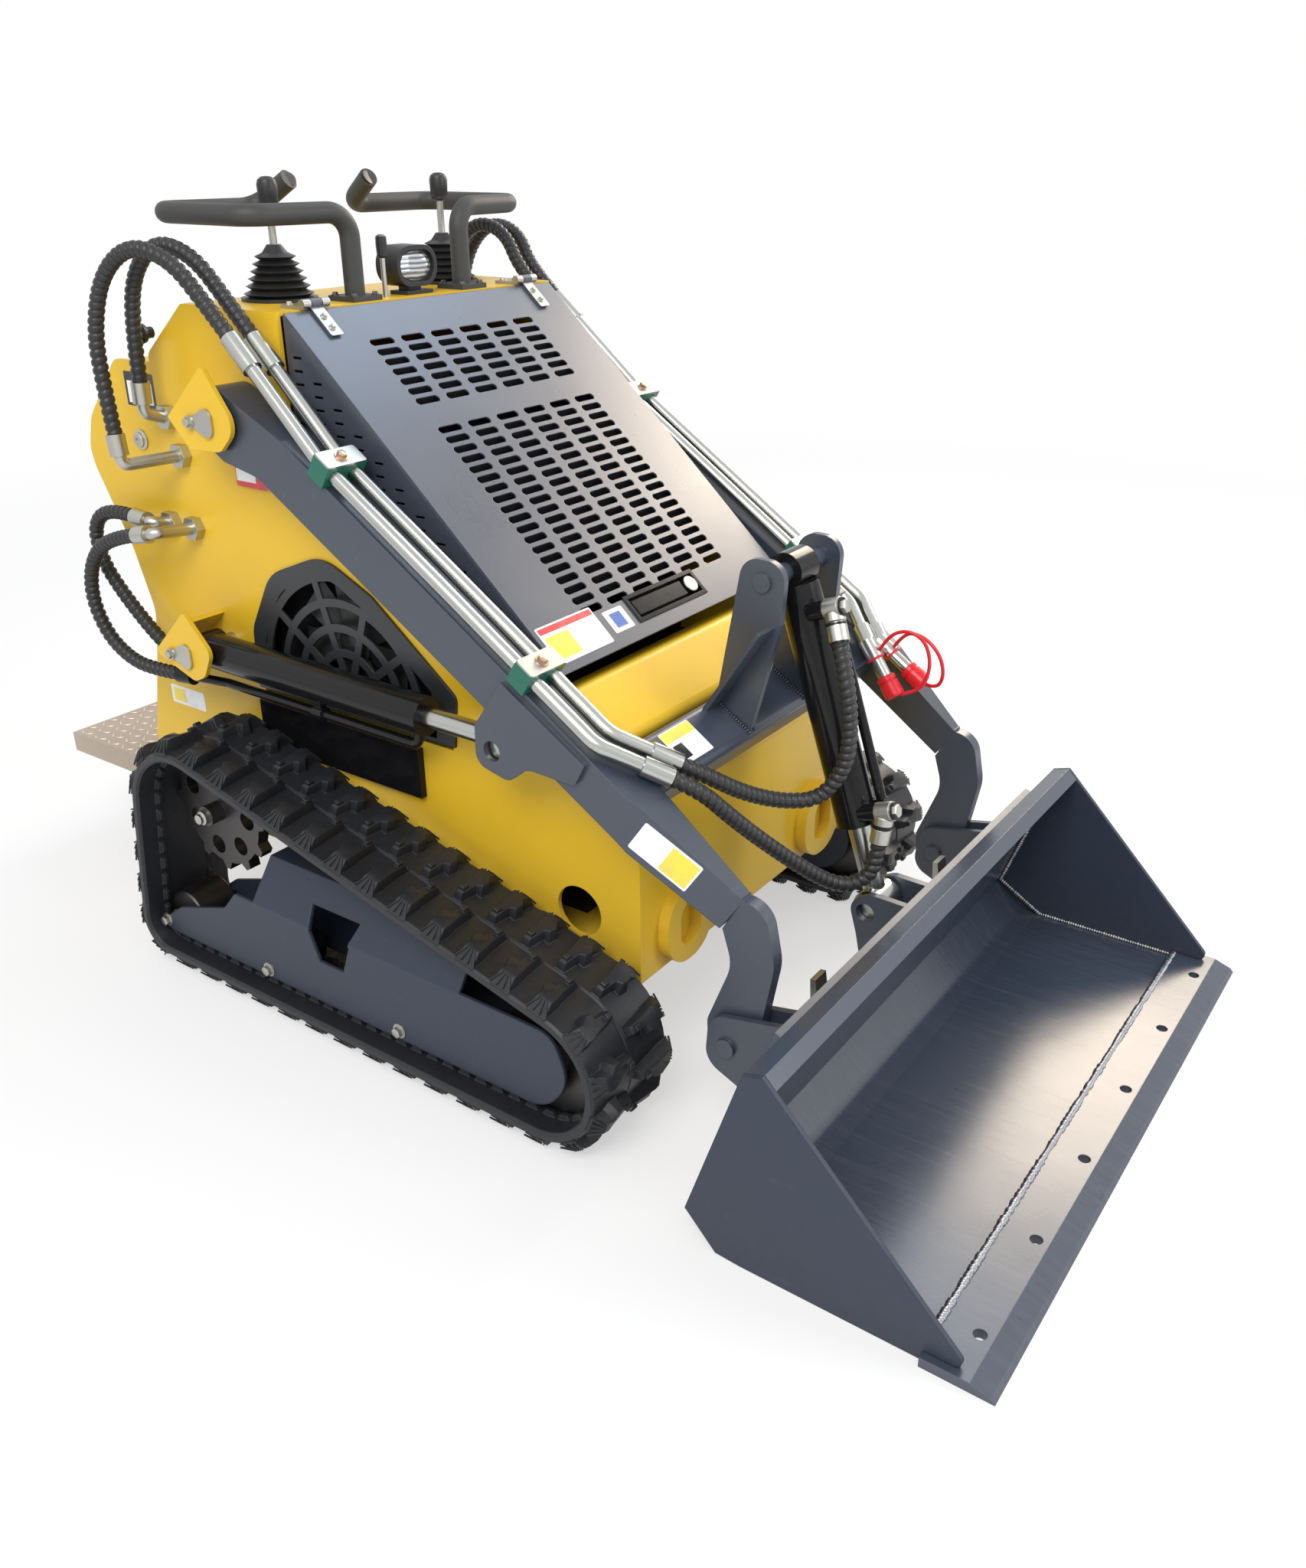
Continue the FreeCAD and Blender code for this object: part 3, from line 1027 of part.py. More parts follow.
# Standing platform behind the console, hinged to fold up
deck = block("deck_plate", platform_rear_x, -platform_half_width, platform_z - 6,
             platform_hinge_x - 9 - platform_rear_x, platform_half_width * 2, 6)
skirt = [block("skirt_%d" % i, platform_rear_x, y, platform_z - 40,
               platform_hinge_x - 20 - platform_rear_x, 6, 36)
         for i, y in enumerate((-platform_half_width, platform_half_width - 6))]
rear_lip = block("rear_lip", platform_rear_x, -platform_half_width, platform_z - 40, 6, platform_half_width * 2, 36)
hinge_low = platform_z - 14
deck_parts, ear_set = [deck, rear_lip] + skirt, []
deck_bores = []
for i, y in enumerate((-240, 180)):
    deck_parts.append(bar("deck_knuckle_%d" % i, "y", platform_hinge_x, y, hinge_low, 14, 60))
    deck_bores.append(bar("deck_bore_%d" % i, "y", platform_hinge_x, y - 1, hinge_low, hinge_pin * 2 + pin_gap, 62))
    lugs_here = [block("hinge_ear_%d_%d" % (i, k), platform_hinge_x - 14, start, platform_z - 28,
                       console_front_x - 489 - platform_hinge_x + 14, 12, 21)
                 for k, start in enumerate((y - 14, y + 62))]
    ear_set.append(fuse("hinge_ear_set_%d" % i, lugs_here + [
        bar("deck_pin_%d" % i, "y", platform_hinge_x, y - 14, hinge_low, hinge_pin * 2, 88)]))
finish(cut("platform_all", fuse("platform_solid", deck_parts), deck_bores), "platform")
finish(together("platform_hinge_set", ear_set), "platform_ears")

# Controls: handles, joysticks, a lever and a work light on the console
top = number(console_z)
grip = tube("handle_tube", [V(-306, -124, top + 8), V(-306, -124, top + 131), V(-330, -300, top + 131),
                            V(-545, -300, top + 131), V(-545, -104, top + 131), V(-476, -88, top + 175)],
            number(tube_radius), 38)
foot = block("handle_foot", -336, -154, console_z, 60, 60, 8)
both("handlebars", fuse("handlebar_right", [grip, foot]))
fold_high = 5.5
boot_folds = [bar("boot_flange", "z", -409, -190, console_z, 60, 5)]
for i in range(6):
    rim = 55 - 4.5 * i
    for k, (low, high) in enumerate(((rim - 9, rim), (rim, rim - 12))):
        fold = doc.addObject("Part::Cone", "boot_fold_%d_%d" % (i, k))
        fold.Radius1, fold.Radius2, fold.Height = low, high, fold_high
        place(fold, -409, -190, console_z + 5 + (2 * i + k) * fold_high)
        boot_folds.append(fold)
boot_top = doc.addObject("Part::Cone", "boot_top")
boot_top.Radius1, boot_top.Radius2, boot_top.Height = 20, 11, 12
place(boot_top, -409, -190, console_z + 71)
boot = fuse("boot", boot_folds + [boot_top])
stick = bar("stick", "z", -409, -190, console_z + 78, 5, 60)
knob = bar("knob", "z", -409, -190, console_z + 138, 14, 36)
both("joysticks", fuse("joystick_right", [boot, stick, knob]))
lever_set = fuse("lever_all", [bar("lever_stem", "z", -300, -64, console_z, 4, 62),
                               bar("lever_grip", "z", -300, -64, console_z + 62, 7, 32)])
finish(lever_set, "throttle_lever")
lamp_line = ((-46, -32), (46, -32), (46, 32), (-46, 32))
lamp_body = plate("lamp_body", "front", -342, 50, [(a + 6, console_z + 44 + b, 30) for a, b in lamp_line])
lamp_well = plate("lamp_well", "front", -299, 10,
                  [(a * 0.84 + 6, console_z + 44 + b * 0.78, 24) for a, b in lamp_line])
lamp = fuse("lamp_all", [block("lamp_foot", -330, -24, console_z, 40, 60, 6),
                         block("lamp_stem", -326, -8, console_z + 5, 24, 28, 10),
                         cut("lamp_case", lamp_body, [lamp_well])])
finish(lamp, "work_light")

# Steel tubes along the arms, held by two clamps each
pipe_radius = 11
pipe_ys = (-390, -352)


arm_top = ((arm_pivot_x + 146.4, arm_pivot_z - 13.6), (bucket_pin_x - 125, bucket_pin_z + 348))
pipe_lift = 19


def arm_point(along, y, offset):
    """A point along the arm's top face and above it."""
    x, z = between(arm_top[0], arm_top[1], along, offset)
    return V(number(x), y, number(z))


pipes, hose_ends, nozzle_ends, nozzle_leads = [], [], [], []
for name, y, rear_y, rear_at, bend_at, turn_in in (
        ("outer", -390, -381, -106, 659, 40), ("inner", -352, -343, -100, 654, 36)):
    line = [arm_point(rear_at, rear_y, 42.5), arm_point(62, y, pipe_lift), arm_point(bend_at, y, pipe_lift),
            arm_point(bend_at + turn_in * 1.45, y + turn_in, pipe_lift - 1)]
    rear = (line[0] - line[1]).normalize()
    fore = (line[3] - line[2]).normalize()
    hose_ends.append(line[0] + rear * 62)
    nozzle_ends.append(line[3] + fore * 46)
    nozzle_leads.append(nozzle_ends[-1] + fore * 45)
    pipes.append(fuse(name + "_pipe_all", [
        tube(name + "_pipe", line, pipe_radius, 45), stub(name + "_pipe_rear", line[0], hose_ends[-1], 15, 62),
        stub(name + "_pipe_fore", line[3], nozzle_ends[-1], 15, 46)]))
right_pipes = together("right_pipes", pipes)
left_pipes = mirror("left_pipes", right_pipes)
couplings = []
for name, end, heading in (("far", nozzle_ends[0], V(0.8365, 0, -0.5477)), ("near", nozzle_ends[1], V(0.62, 0.1, -0.78))):
    start = V(end.x, -end.y, end.z)
    forward = V(heading.x, -heading.y, heading.z)
    couplings += [stub(name + "_coupler_hex", start - forward * 14, start + forward * 40, 16, 34),
                  stub(name + "_coupler_body", start, start + forward * 90, 12, 64)]
finish(together("arm_tube_set", [right_pipes, fuse("left_pipes_coupled", [left_pipes] + couplings)]), "arm_tubes")
clamp_parts = []
for i, along in enumerate((87, 520)):
    ring = [between(arm_top[0], arm_top[1], along + a, b) for a, b in ((-17, 0.2), (17, 0.2), (17, 36), (-17, 36))]
    body = plate("clamp_body_%d" % i, "side", -408, 74, ring)
    bores = [line_bar("clamp_bore_%d_%d" % (i, k), arm_top[0], arm_top[1], y, along - 40, pipe_lift, pipe_radius + 0.4, 80)
             for k, y in enumerate(pipe_ys)]
    clamp_parts.append(cut("clamp_%d" % i, body, bores))
both("tube_clamps", together("clamps_right", clamp_parts))

# Ports in the chassis side plates and the hoses to the arms, lift cylinders and tilt cylinder
hose_radius = 12.5
port_y = -number(half_width_chassis)
arm_runs = [
    [V(-573, -418, 935), V(-580, -418, 1005), V(-582, -417, 1090), V(-548, -412, 1175), V(-480, -402, 1222),
     V(-402, -392, 1205)],
    [V(-566, -362, 1010), V(-562, -362, 1100), V(-537, -361, 1178), V(-475, -358, 1225), V(-400, -351, 1207)]]
for run, pipe_end, pipe_next in zip(arm_runs, hose_ends, (arm_point(62, -390, pipe_lift), arm_point(62, -352, pipe_lift))):
    rear = (pipe_end - pipe_next).normalize()
    run += [pipe_end + rear * 75, pipe_end]
both("arm_hoses", together("arm_hoses_right", [
    tube("arm_hose_%d" % i, run, hose_radius) for i, run in enumerate(arm_runs)]))
lift_hose_end = from_lift(-71, -16, -57)
lift_runs = [
    [V(-650, -358, 777), V(-722, -358, 782), V(-778, -358, 745), V(-772, -358, 680), V(-727, -358, 628),
     V(-662, -357, 572), V(-612, -356, 541), V(-553, -356, 541)],
    [V(-592, -398, 762), V(-680, -398, 744), V(-745, -397, 690), V(-765, -396, 620), V(-735, -396, 556),
     V(-672, -398, 524), lift_hose_end + (lift_hose_end - from_lift(40, 0, -55)).normalize() * 60, lift_hose_end]]
pair("lift_hoses", together("lift_hoses_both", [
    tube("lift_hose_%d" % i, run, hose_radius) for i, run in enumerate(lift_runs)]))
tilt_runs = [
    [nozzle_ends[1], nozzle_leads[1], V(487, -200, 503), V(510, -125, 464), V(545, -72, 455), V(573, -52, 500),
     V(580, -48, 550), V(577, -49, 604)] + port_leads[0],
    [nozzle_ends[0], nozzle_leads[0], V(500, -260, 497), V(520, -205, 440), V(551, -138, 374), V(574, -93, 334),
     V(598, -65, 319), V(615, -45, 326)] + port_leads[1]]
finish(together("tilt_hose_set", [
    tube("tilt_hose_%d" % i, run, hose_radius) for i, run in enumerate(tilt_runs)]), "tilt_hoses")

port_parts = []
for i, (spot, run) in enumerate(((V(-543, port_y, 888), arm_runs[0]), (V(-564, port_y, 949), arm_runs[1]),
                                 (V(-598, port_y, 767), lift_runs[0]), (V(-537, port_y, 766), lift_runs[1]))):
    nut = doc.addObject("Part::Prism", "port_nut_%d" % i)
    nut.Polygon = 6
    nut.Circumradius = 21
    nut.Height = 16
    nut.Placement = FreeCAD.Placement(spot, FreeCAD.Rotation(V(1, 0, 0), 90))
    first = (run[0] - run[1]).normalize()
    corner = run[0] + first * 50
    port_parts.append(fuse("port_%d" % i, [
        nut, tube("port_elbow_%d" % i, [spot - V(0, 12, 0), corner, run[0] + first * 20], 10, 12),
        stub("port_collar_%d" % i, run[0], corner, 15, 34)]))
both("hose_ports", together("ports_right", port_parts))

# Tie-down rings on the front plate
ring_line = [(-62, -66, 58), (62, -66, 58), (62, 66, 58), (-62, 66, 58)]
tie_ring = plate("tie_ring", "front", front_x, 20,
                 [(a - 210, belly_z + 66 + b, r) for a, b, r in ring_line],
                 loops=[[(a * 0.45 - 210, belly_z + 66 + b * 0.6, 26) for a, b, r in ring_line]])
both("tie_down_rings", tie_ring)

doc.recompute()
for item in doc.Objects:
    if "Invalid" in item.State or "Error" in item.State:
        raise RuntimeError("failed: %s %s" % (item.Label, item.State))
for item in FINAL:
    shape = item.Shape
    if shape.isNull() or not shape.isValid():
        raise RuntimeError("bad shape: " + item.Label)
    shape.exportStep("parts/%s.step" % item.Label)
print(len(FINAL), "pieces")
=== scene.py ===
# %% [markdown]
# # A mini skid steer loader, finished in Blender
# The machine arrives from CAD as rigid, named parts on moving bodies. Here it gets what
# CAD leaves plain: paint, rubber, zinc and polished steel, hydraulic hoses with their
# spiral guards, bolts, weld beads and blank stickers. Every new piece but the hoses rides on
# the body that carries it, so it moves when the arms, bucket, hood or platform move.

# %% Load the imported parts
import bpy
import bmesh
import math
import random
from mathutils import Matrix, Vector


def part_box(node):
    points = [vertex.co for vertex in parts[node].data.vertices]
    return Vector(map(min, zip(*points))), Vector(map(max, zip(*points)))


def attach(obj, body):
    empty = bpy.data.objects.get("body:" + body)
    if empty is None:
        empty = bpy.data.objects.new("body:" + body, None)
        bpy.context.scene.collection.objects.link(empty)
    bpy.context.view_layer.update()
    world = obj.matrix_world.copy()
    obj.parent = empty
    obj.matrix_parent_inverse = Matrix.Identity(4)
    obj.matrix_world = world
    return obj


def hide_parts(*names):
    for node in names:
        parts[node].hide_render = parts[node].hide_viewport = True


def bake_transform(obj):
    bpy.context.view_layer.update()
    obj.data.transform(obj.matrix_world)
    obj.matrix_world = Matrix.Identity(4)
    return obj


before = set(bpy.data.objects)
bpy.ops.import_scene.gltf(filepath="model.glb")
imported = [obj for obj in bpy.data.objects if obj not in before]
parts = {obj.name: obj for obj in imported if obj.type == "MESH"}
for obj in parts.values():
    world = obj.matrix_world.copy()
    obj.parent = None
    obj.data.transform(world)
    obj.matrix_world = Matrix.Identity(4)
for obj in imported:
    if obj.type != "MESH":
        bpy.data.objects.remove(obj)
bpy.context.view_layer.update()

# %% [markdown]
# ## Camera
# The photograph was taken from head height beside the bucket. The camera's place, angle
# and lens were solved from the machine's own straight edges, so the model can be laid
# over the photograph. The picture is 1706 by 2048 pixels, and Blender measures the lens
# against the longer side.

# %% Camera at the photograph's place
picture_high = 2048
focal_pixels = 1733.3
shift_pixels = (-26.1, -23.8)
sensor_mm = 36
view_turn = 2.176
view_down = math.radians(25.04)
camera_data = bpy.data.cameras.new("photo_camera")
camera_data.lens = focal_pixels * sensor_mm / picture_high
camera_data.shift_x = shift_pixels[0] / picture_high
camera_data.shift_y = shift_pixels[1] / picture_high
camera = bpy.data.objects.new("photo_camera", camera_data)
camera.location = (1.389, -1.680, 1.354)
sight = Vector((math.cos(view_turn) * math.cos(view_down), math.sin(view_turn) * math.cos(view_down),
                -math.sin(view_down)))
camera.rotation_euler = sight.to_track_quat("-Z", "Y").to_euler()
bpy.context.scene.collection.objects.link(camera)
bpy.context.scene.camera = camera
bpy.context.scene.view_settings.view_transform = "Standard"
print("lens", round(camera_data.lens, 2), "looking", [round(v, 3) for v in sight])

# %% [markdown]
# ## Shader maths as plain sums
# A material is a tree of nodes. Wiring each Math node by hand hides the idea, so one
# small class wraps a socket: adding or multiplying two of them puts the Math node in.
# A second class makes any other node from its type, its settings and its inputs.

# %% A socket that can be added and multiplied
class Wire:
    def __init__(self, tree, socket):
        self.tree = tree
        self.socket = socket

    def combine(self, operation, first, second):
        return self.tree.node("ShaderNodeMath", {"operation": operation}, {0: first, 1: second})

    def __add__(self, other):
        return self.combine("ADD", self, other)

    def __radd__(self, other):
        return self.combine("ADD", other, self)

    def __sub__(self, other):
        return self.combine("SUBTRACT", self, other)

    def __rsub__(self, other):
        return self.combine("SUBTRACT", other, self)

    def __mul__(self, other):
        return self.combine("MULTIPLY", self, other)

    def __rmul__(self, other):
        return self.combine("MULTIPLY", other, self)

    def clamped(self):
        return self.tree.node("ShaderNodeClamp", {}, {0: self})


print("sums of sockets ready")


# %% A finish: one material and the nodes in it
class Finish:
    def __init__(self, name):
        self.material = bpy.data.materials.new(name)
        self.material.use_nodes = True
        self.nodes = self.material.node_tree.nodes
        self.nodes.clear()

    def node(self, kind, settings, inputs, output=0):
        made = self.nodes.new(kind)
        for name, value in settings.items():
            if name == "stops":
                ramp = made.color_ramp
                while len(ramp.elements) < len(value):
                    ramp.elements.new(0.5)
                for stop, (place, shade) in zip(ramp.elements, value):
                    stop.position = place
                    stop.color = (shade, shade, shade, 1)
            else:
                setattr(made, name, value)
        for name, value in inputs.items():
            if isinstance(value, Wire):
                self.material.node_tree.links.new(value.socket, made.inputs[name])
            elif isinstance(value, tuple) and made.inputs[name].type == "RGBA":
                made.inputs[name].default_value = (*value, 1)
            else:
                made.inputs[name].default_value = value
        return Wire(self, made.outputs[output])

    def place(self, stretch=(1, 1, 1)):
        spot = self.node("ShaderNodeTexCoord", {}, {}, "Object")
        return self.node("ShaderNodeMapping", {}, {"Vector": spot, "Scale": stretch})

    def noise(self, scale, detail=3, stretch=(1, 1, 1)):
        return self.node("ShaderNodeTexNoise", {}, {"Vector": self.place(stretch), "Scale": scale,
                                                    "Detail": detail, "Roughness": 0.55})

    def ramp(self, factor, *stops):
        return self.node("ShaderNodeValToRGB", {"stops": stops}, {"Fac": factor})

    def mix(self, factor, first, second):
        return self.node("ShaderNodeMix", {"data_type": "RGBA"}, {0: factor, 6: first, 7: second}, 2)

    def height(self):
        spot = self.node("ShaderNodeTexCoord", {}, {}, "Object")
        return self.node("ShaderNodeSeparateXYZ", {}, {0: spot}, 2)

    def bump(self, height, strength, distance, soften=0.0):
        inputs = {"Height": height, "Strength": strength, "Distance": distance}
        if soften:
            inputs["Normal"] = self.node("ShaderNodeBevel", {"samples": 4}, {"Radius": soften})
        return self.node("ShaderNodeBump", {}, inputs)

    def surface(self, shader):
        out = self.nodes.new("ShaderNodeOutputMaterial")
        self.material.node_tree.links.new(shader.socket, out.inputs["Surface"])
        return self.material

    def done(self, **sockets):
        names = {"colour": "Base Color", "rough": "Roughness", "metal": "Metallic", "normal": "Normal",
                 "coat": "Coat Weight", "gloss": "Specular IOR Level"}
        inputs = {names[word]: value for word, value in sockets.items()}
        return self.surface(self.node("ShaderNodeBsdfPrincipled", {}, inputs))


print("shader helpers ready")

# %% [markdown]
# ## Paint
# Sprayed paint is a smooth coat with a faint orange peel. Real panels are never one even
# colour: broad clouds of tone, fine scratches from handling, and dust low down near the
# tracks. Noise on Object coordinates gives all three at real scale, because one unit is
# one metre. A Bevel node under the Bump softens every cut edge so it catches the light.

# %% Paint finish
dust_colour = (0.33, 0.29, 0.23)
dust_height = 0.42


def paint(name, colour, rough, gloss=0.5, dust=0.25, scratches=0.25, edge=0.0015):
    """dust and scratches are shares of 1, and edge is the softened corner's radius in metres."""
    made = Finish(name)
    darker = tuple(c * 0.86 for c in colour)
    lighter = tuple(min(1, c * 1.08 + 0.004) for c in colour)
    clouds = made.noise(3.2, 4)
    grain = made.noise(60, 5)
    tone = made.mix(clouds, darker, lighter)
    marks = made.ramp(made.noise(7, 6, (9, 1, 9)), (0.66, 0), (0.7, 1))
    marks = marks + made.ramp(made.noise(5, 6, (1, 12, 3)), (0.68, 0), (0.71, 1))
    worn = tuple(c * 0.55 + 0.22 for c in colour)
    tone = made.mix((marks * grain * scratches).clamped(), tone, worn)
    low = made.ramp(made.height(), (0.0, 1), (dust_height, 0))
    tone = made.mix((low * grain * dust).clamped(), tone, dust_colour)
    roughness = rough + (clouds - 0.5) * 0.18 + grain * 0.05 + low * 0.08
    peel = made.noise(400, 2) * 0.04 + made.noise(14, 2)
    return made.done(colour=tone, rough=roughness, gloss=gloss,
                     normal=made.bump(peel, 0.12, 0.0015, edge))


yellow_paint = paint("yellow_paint", (0.715, 0.450, 0.020), 0.31, gloss=0.4)
slate_paint = paint("slate_paint", (0.033, 0.044, 0.066), 0.30, gloss=0.75, scratches=0.1, dust=0.04)
side_paint = paint("side_paint", (0.023, 0.033, 0.055), 0.32, gloss=0.33, scratches=0.08, dust=0.04,
                   edge=0.004)
hood_paint = paint("hood_paint", (0.046, 0.055, 0.078), 0.27, gloss=0.9, scratches=0.0, dust=0.0)
black_paint = paint("black_paint", (0.005, 0.005, 0.006), 0.13, gloss=0.27, scratches=0.02, dust=0.02)
grille_paint = paint("grille_paint", (0.022, 0.025, 0.029), 0.34, scratches=0.03, dust=0.1)
print("paints:", yellow_paint.name, slate_paint.name, side_paint.name, hood_paint.name,
      black_paint.name, grille_paint.name)

# %% [markdown]
# ## Bucket paint
# The bucket's inside is where soil slides. Even on a new machine its paint is rubbed and
# shows long drag marks towards the cutting edge. This finish starts like the paint above,
# then adds faint streaks along X and small dark pits, both only low down, on the floor.

# %% Bucket finish
def bucket_finish():
    made = Finish("bucket_paint")
    clouds = made.noise(2.4, 5)
    fine = made.noise(40, 6)
    streaks = made.ramp(made.noise(9, 6, (1, 14, 3)), (0.45, 0), (0.75, 1))
    tone = made.mix(clouds, (0.030, 0.041, 0.064), (0.043, 0.055, 0.081))
    low = made.ramp(made.height(), (0.02, 1), (0.2, 0))
    tone = made.mix((low * streaks * fine * 0.14).clamped(), tone, (0.24, 0.23, 0.22))
    pits = made.ramp(made.noise(55, 3), (0.70, 0), (0.73, 1))
    tone = made.mix((pits * low * 0.5).clamped(), tone, (0.02, 0.02, 0.02))
    roughness = 0.27 + (clouds - 0.5) * 0.15 + streaks * 0.02
    waves = made.noise(5, 2) + fine * 0.05
    return made.done(colour=tone, rough=roughness, gloss=0.85, normal=made.bump(waves, 0.25, 0.004, 0.0015))


bucket_paint = bucket_finish()
print("bucket paint ready")

# %% [markdown]
# ## Rubber and plastic
# The tracks are matt moulded rubber with a dusty bloom. The hoses wear a spiral guard of
# black plastic, and the handles a sleeve of foam. All of them are one recipe: a dark
# colour, a paler dust in soft clouds, and a grain whose scale sets the material apart.

# %% Rubber and plastic finishes
def moulded(name, colour, rough, bloom, grain_scale, depth, edge=0.001):
    made = Finish(name)
    grain = made.noise(grain_scale, 4)
    clouds = made.noise(9, 5)
    dusty = tuple(c * 2.4 + 0.03 for c in colour)
    tone = made.mix((clouds * grain * bloom).clamped(), colour, dusty)
    roughness = rough + (clouds - 0.5) * 0.25
    return made.done(colour=tone, rough=roughness, gloss=0.4,
                     normal=made.bump(grain + clouds, 0.35, depth, edge))


track_rubber = moulded("track_rubber", (0.010, 0.011, 0.014), 0.44, 0.5, 120, 0.0008, 0.0025)
hose_guard = moulded("hose_guard", (0.016, 0.016, 0.017), 0.40, 0.5, 260, 0.0003, 0)
grip_foam = moulded("grip_foam", (0.030, 0.030, 0.028), 0.55, 0.5, 420, 0.0003, 0.001)
black_plastic = moulded("black_plastic", (0.014, 0.014, 0.015), 0.38, 0.3, 300, 0.0002)
red_plastic = moulded("red_plastic", (0.62, 0.012, 0.022), 0.32, 0.1, 200, 0.0002)
green_plastic = moulded("green_plastic", (0.012, 0.11, 0.075), 0.38, 0.2, 200, 0.0002)
print("rubber and plastic ready")

# %% [markdown]
# ## Metal
# Zinc plate is a pale, slightly blotchy metal, and cylinder rods and arm tubes are bright.
# A metal takes its look from Metallic and Roughness, and its colour only tints what it
# mirrors, so one recipe gives zinc, polished rods, dark castings, welds and copper.

# %% Metal finishes
def metal(name, colour, rough, blotch, tint=(0.62, 0.56, 0.36), edge=0.0008):
    made = Finish(name)
    patches = made.noise(22, 4)
    brushed = made.noise(120)
    tone = made.mix((patches * blotch).clamped(), colour, tint)
    roughness = rough + (brushed - 0.5) * 0.03 + (patches - 0.5) * 0.12
    return made.done(colour=tone, rough=roughness, metal=1.0,
                     normal=made.bump(brushed, 0.005, 0.0003, edge))


zinc_steel = metal("zinc_steel", (0.45, 0.46, 0.45), 0.36, 0.35)
bright_steel = metal("bright_steel", (0.47, 0.48, 0.46), 0.24, 0.05, edge=0.0)
dark_steel = metal("dark_steel", (0.10, 0.10, 0.105), 0.42, 0.3, tint=(0.16, 0.12, 0.09))
weld_metal = metal("weld_metal", (0.38, 0.39, 0.41), 0.34, 0.5, tint=(0.16, 0.17, 0.20))
bar_steel = metal("bar_steel", (0.62, 0.56, 0.48), 0.38, 0.3, tint=(0.46, 0.40, 0.33))
copper_bolt = metal("copper_bolt", (0.52, 0.34, 0.25), 0.32, 0.3)
print("metals ready")

# %% [markdown]
# ## Tread plate
# The folding platform at the back is tread steel. Its base is a dusty, warm grey, and the
# paler raised bars that give grip are added as a piece further down.

# %% Tread plate finish
def tread_finish():
    made = Finish("tread_plate")
    clouds = made.noise(6, 5)
    specks = made.noise(160, 4)
    tone = made.mix(clouds, (0.36, 0.29, 0.22), (0.52, 0.44, 0.36))
    tone = made.mix((specks * 0.35).clamped(), tone, (0.25, 0.21, 0.17))
    return made.done(colour=tone, rough=0.5 + (specks - 0.5) * 0.3, metal=0.25,
                     normal=made.bump(specks, 0.2, 0.0006, 0.001))


tread_plate = tread_finish()
print("tread plate ready")

# %% [markdown]
# ## Vinyl, lamp glass and painted shade
# A sticker is smooth vinyl with a thin coat and a little dirt. The lamp's ribbed glass is
# a bright, coated surface with waves in its bump and painted glints in light and dark rings,
# which costs less than real glass and looks the same from outside. What lies behind the
# slots is painted shade: a nearly black, dull finish for the dark inside.

# %% Sticker vinyl, lamp glass and a painted shade finish
def vinyl(name, colour):
    made = Finish(name)
    dirt = made.noise(30, 5)
    tone = made.mix((made.ramp(dirt, (0.5, 0), (0.8, 1)) * 0.35).clamped(), colour, (0.30, 0.28, 0.25))
    return made.done(colour=tone, rough=0.32 + (dirt - 0.5) * 0.2, coat=0.25,
                     normal=made.bump(dirt, 0.1, 0.0005))


def lamp_glass():
    made = Finish("lamp_glass")
    rings = made.node("ShaderNodeTexWave", {"wave_type": "RINGS", "rings_direction": "X"},
                      {"Vector": made.place(), "Scale": 40, "Distortion": 1.5})
    # painted reflection: the light and dark rings in the lens's colour are painted glints of the ribbed glass
    tone = made.mix(rings, (0.10, 0.11, 0.12), (0.62, 0.63, 0.65))
    return made.done(colour=tone, rough=0.12, metal=0.55, coat=1.0, normal=made.bump(rings, 0.4, 0.002))


def painted_shade_mesh():
    made = Finish("painted_shade_mesh")
    grain = made.noise(300, 2)
    # painted shade: a near-black tone for the dark inside of the hood and behind the grilles
    tone = made.mix(grain, (0.003, 0.003, 0.004), (0.012, 0.012, 0.014))
    return made.done(colour=tone, rough=0.7 + grain * 0.2, gloss=0.08, normal=made.bump(grain, 0.3, 0.0006))


sticker_white = vinyl("sticker_white", (0.80, 0.81, 0.82))
sticker_yellow = vinyl("sticker_yellow", (0.83, 0.66, 0.06))
sticker_red = vinyl("sticker_red", (0.62, 0.03, 0.035))
sticker_blue = vinyl("sticker_blue", (0.03, 0.10, 0.42))
sticker_black = vinyl("sticker_black", (0.015, 0.015, 0.017))
lens_glass = lamp_glass()
shade_core_finish = painted_shade_mesh()
print("vinyl, glass and mesh ready")

# %% [markdown]
# ## Dressing the CAD parts
# A CAD part keeps its shape and place. Only its material slots are filled, on the object
# and not on the mesh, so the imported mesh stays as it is.

# %% Give every CAD part its finish
finishes = {
    yellow_paint: ["side_plate_right", "side_plate_left", "front_plate", "nose_panel", "belly_plate",
                   "console_panel", "arm_tower_right", "arm_tower_left", "lift_bracket_right",
                   "lift_bracket_left", "tie_down_rings", "platform_ears"],
    slate_paint: ["arm_right", "arm_left", "cross_tube", "tilt_bracket", "quick_attach"],
    side_paint: ["bucket_side_right", "bucket_side_left", "track_frame_right", "track_frame_left"],
    hood_paint: ["hood_top", "hood_side_right", "hood_side_left"],
    bucket_paint: ["bucket_shell", "cutting_edge"],
    black_paint: ["engine_block", "side_boxes", "lift_barrel_right", "lift_barrel_left", "tilt_barrel",
                  "drive_motors", "hood_latch"],
    grille_paint: ["fan_grilles"],
    black_plastic: ["joysticks", "work_light"],
    grip_foam: ["handlebars"],
    zinc_steel: ["chassis_pins_right", "chassis_pins_left", "hood_hinges", "throttle_lever",
                 "hose_ports", "latch_levers"],
    bright_steel: ["lift_rod_right", "lift_rod_left", "tilt_rod", "arm_tubes"],
    green_plastic: ["tube_clamps"],
    dark_steel: ["sprocket_right", "sprocket_left", "rollers_right", "rollers_left"],
    track_rubber: ["track_right", "track_left"],
    hose_guard: ["arm_hoses", "lift_hoses_right", "lift_hoses_left", "tilt_hoses"],
    tread_plate: ["platform"],
}
dressed = 0
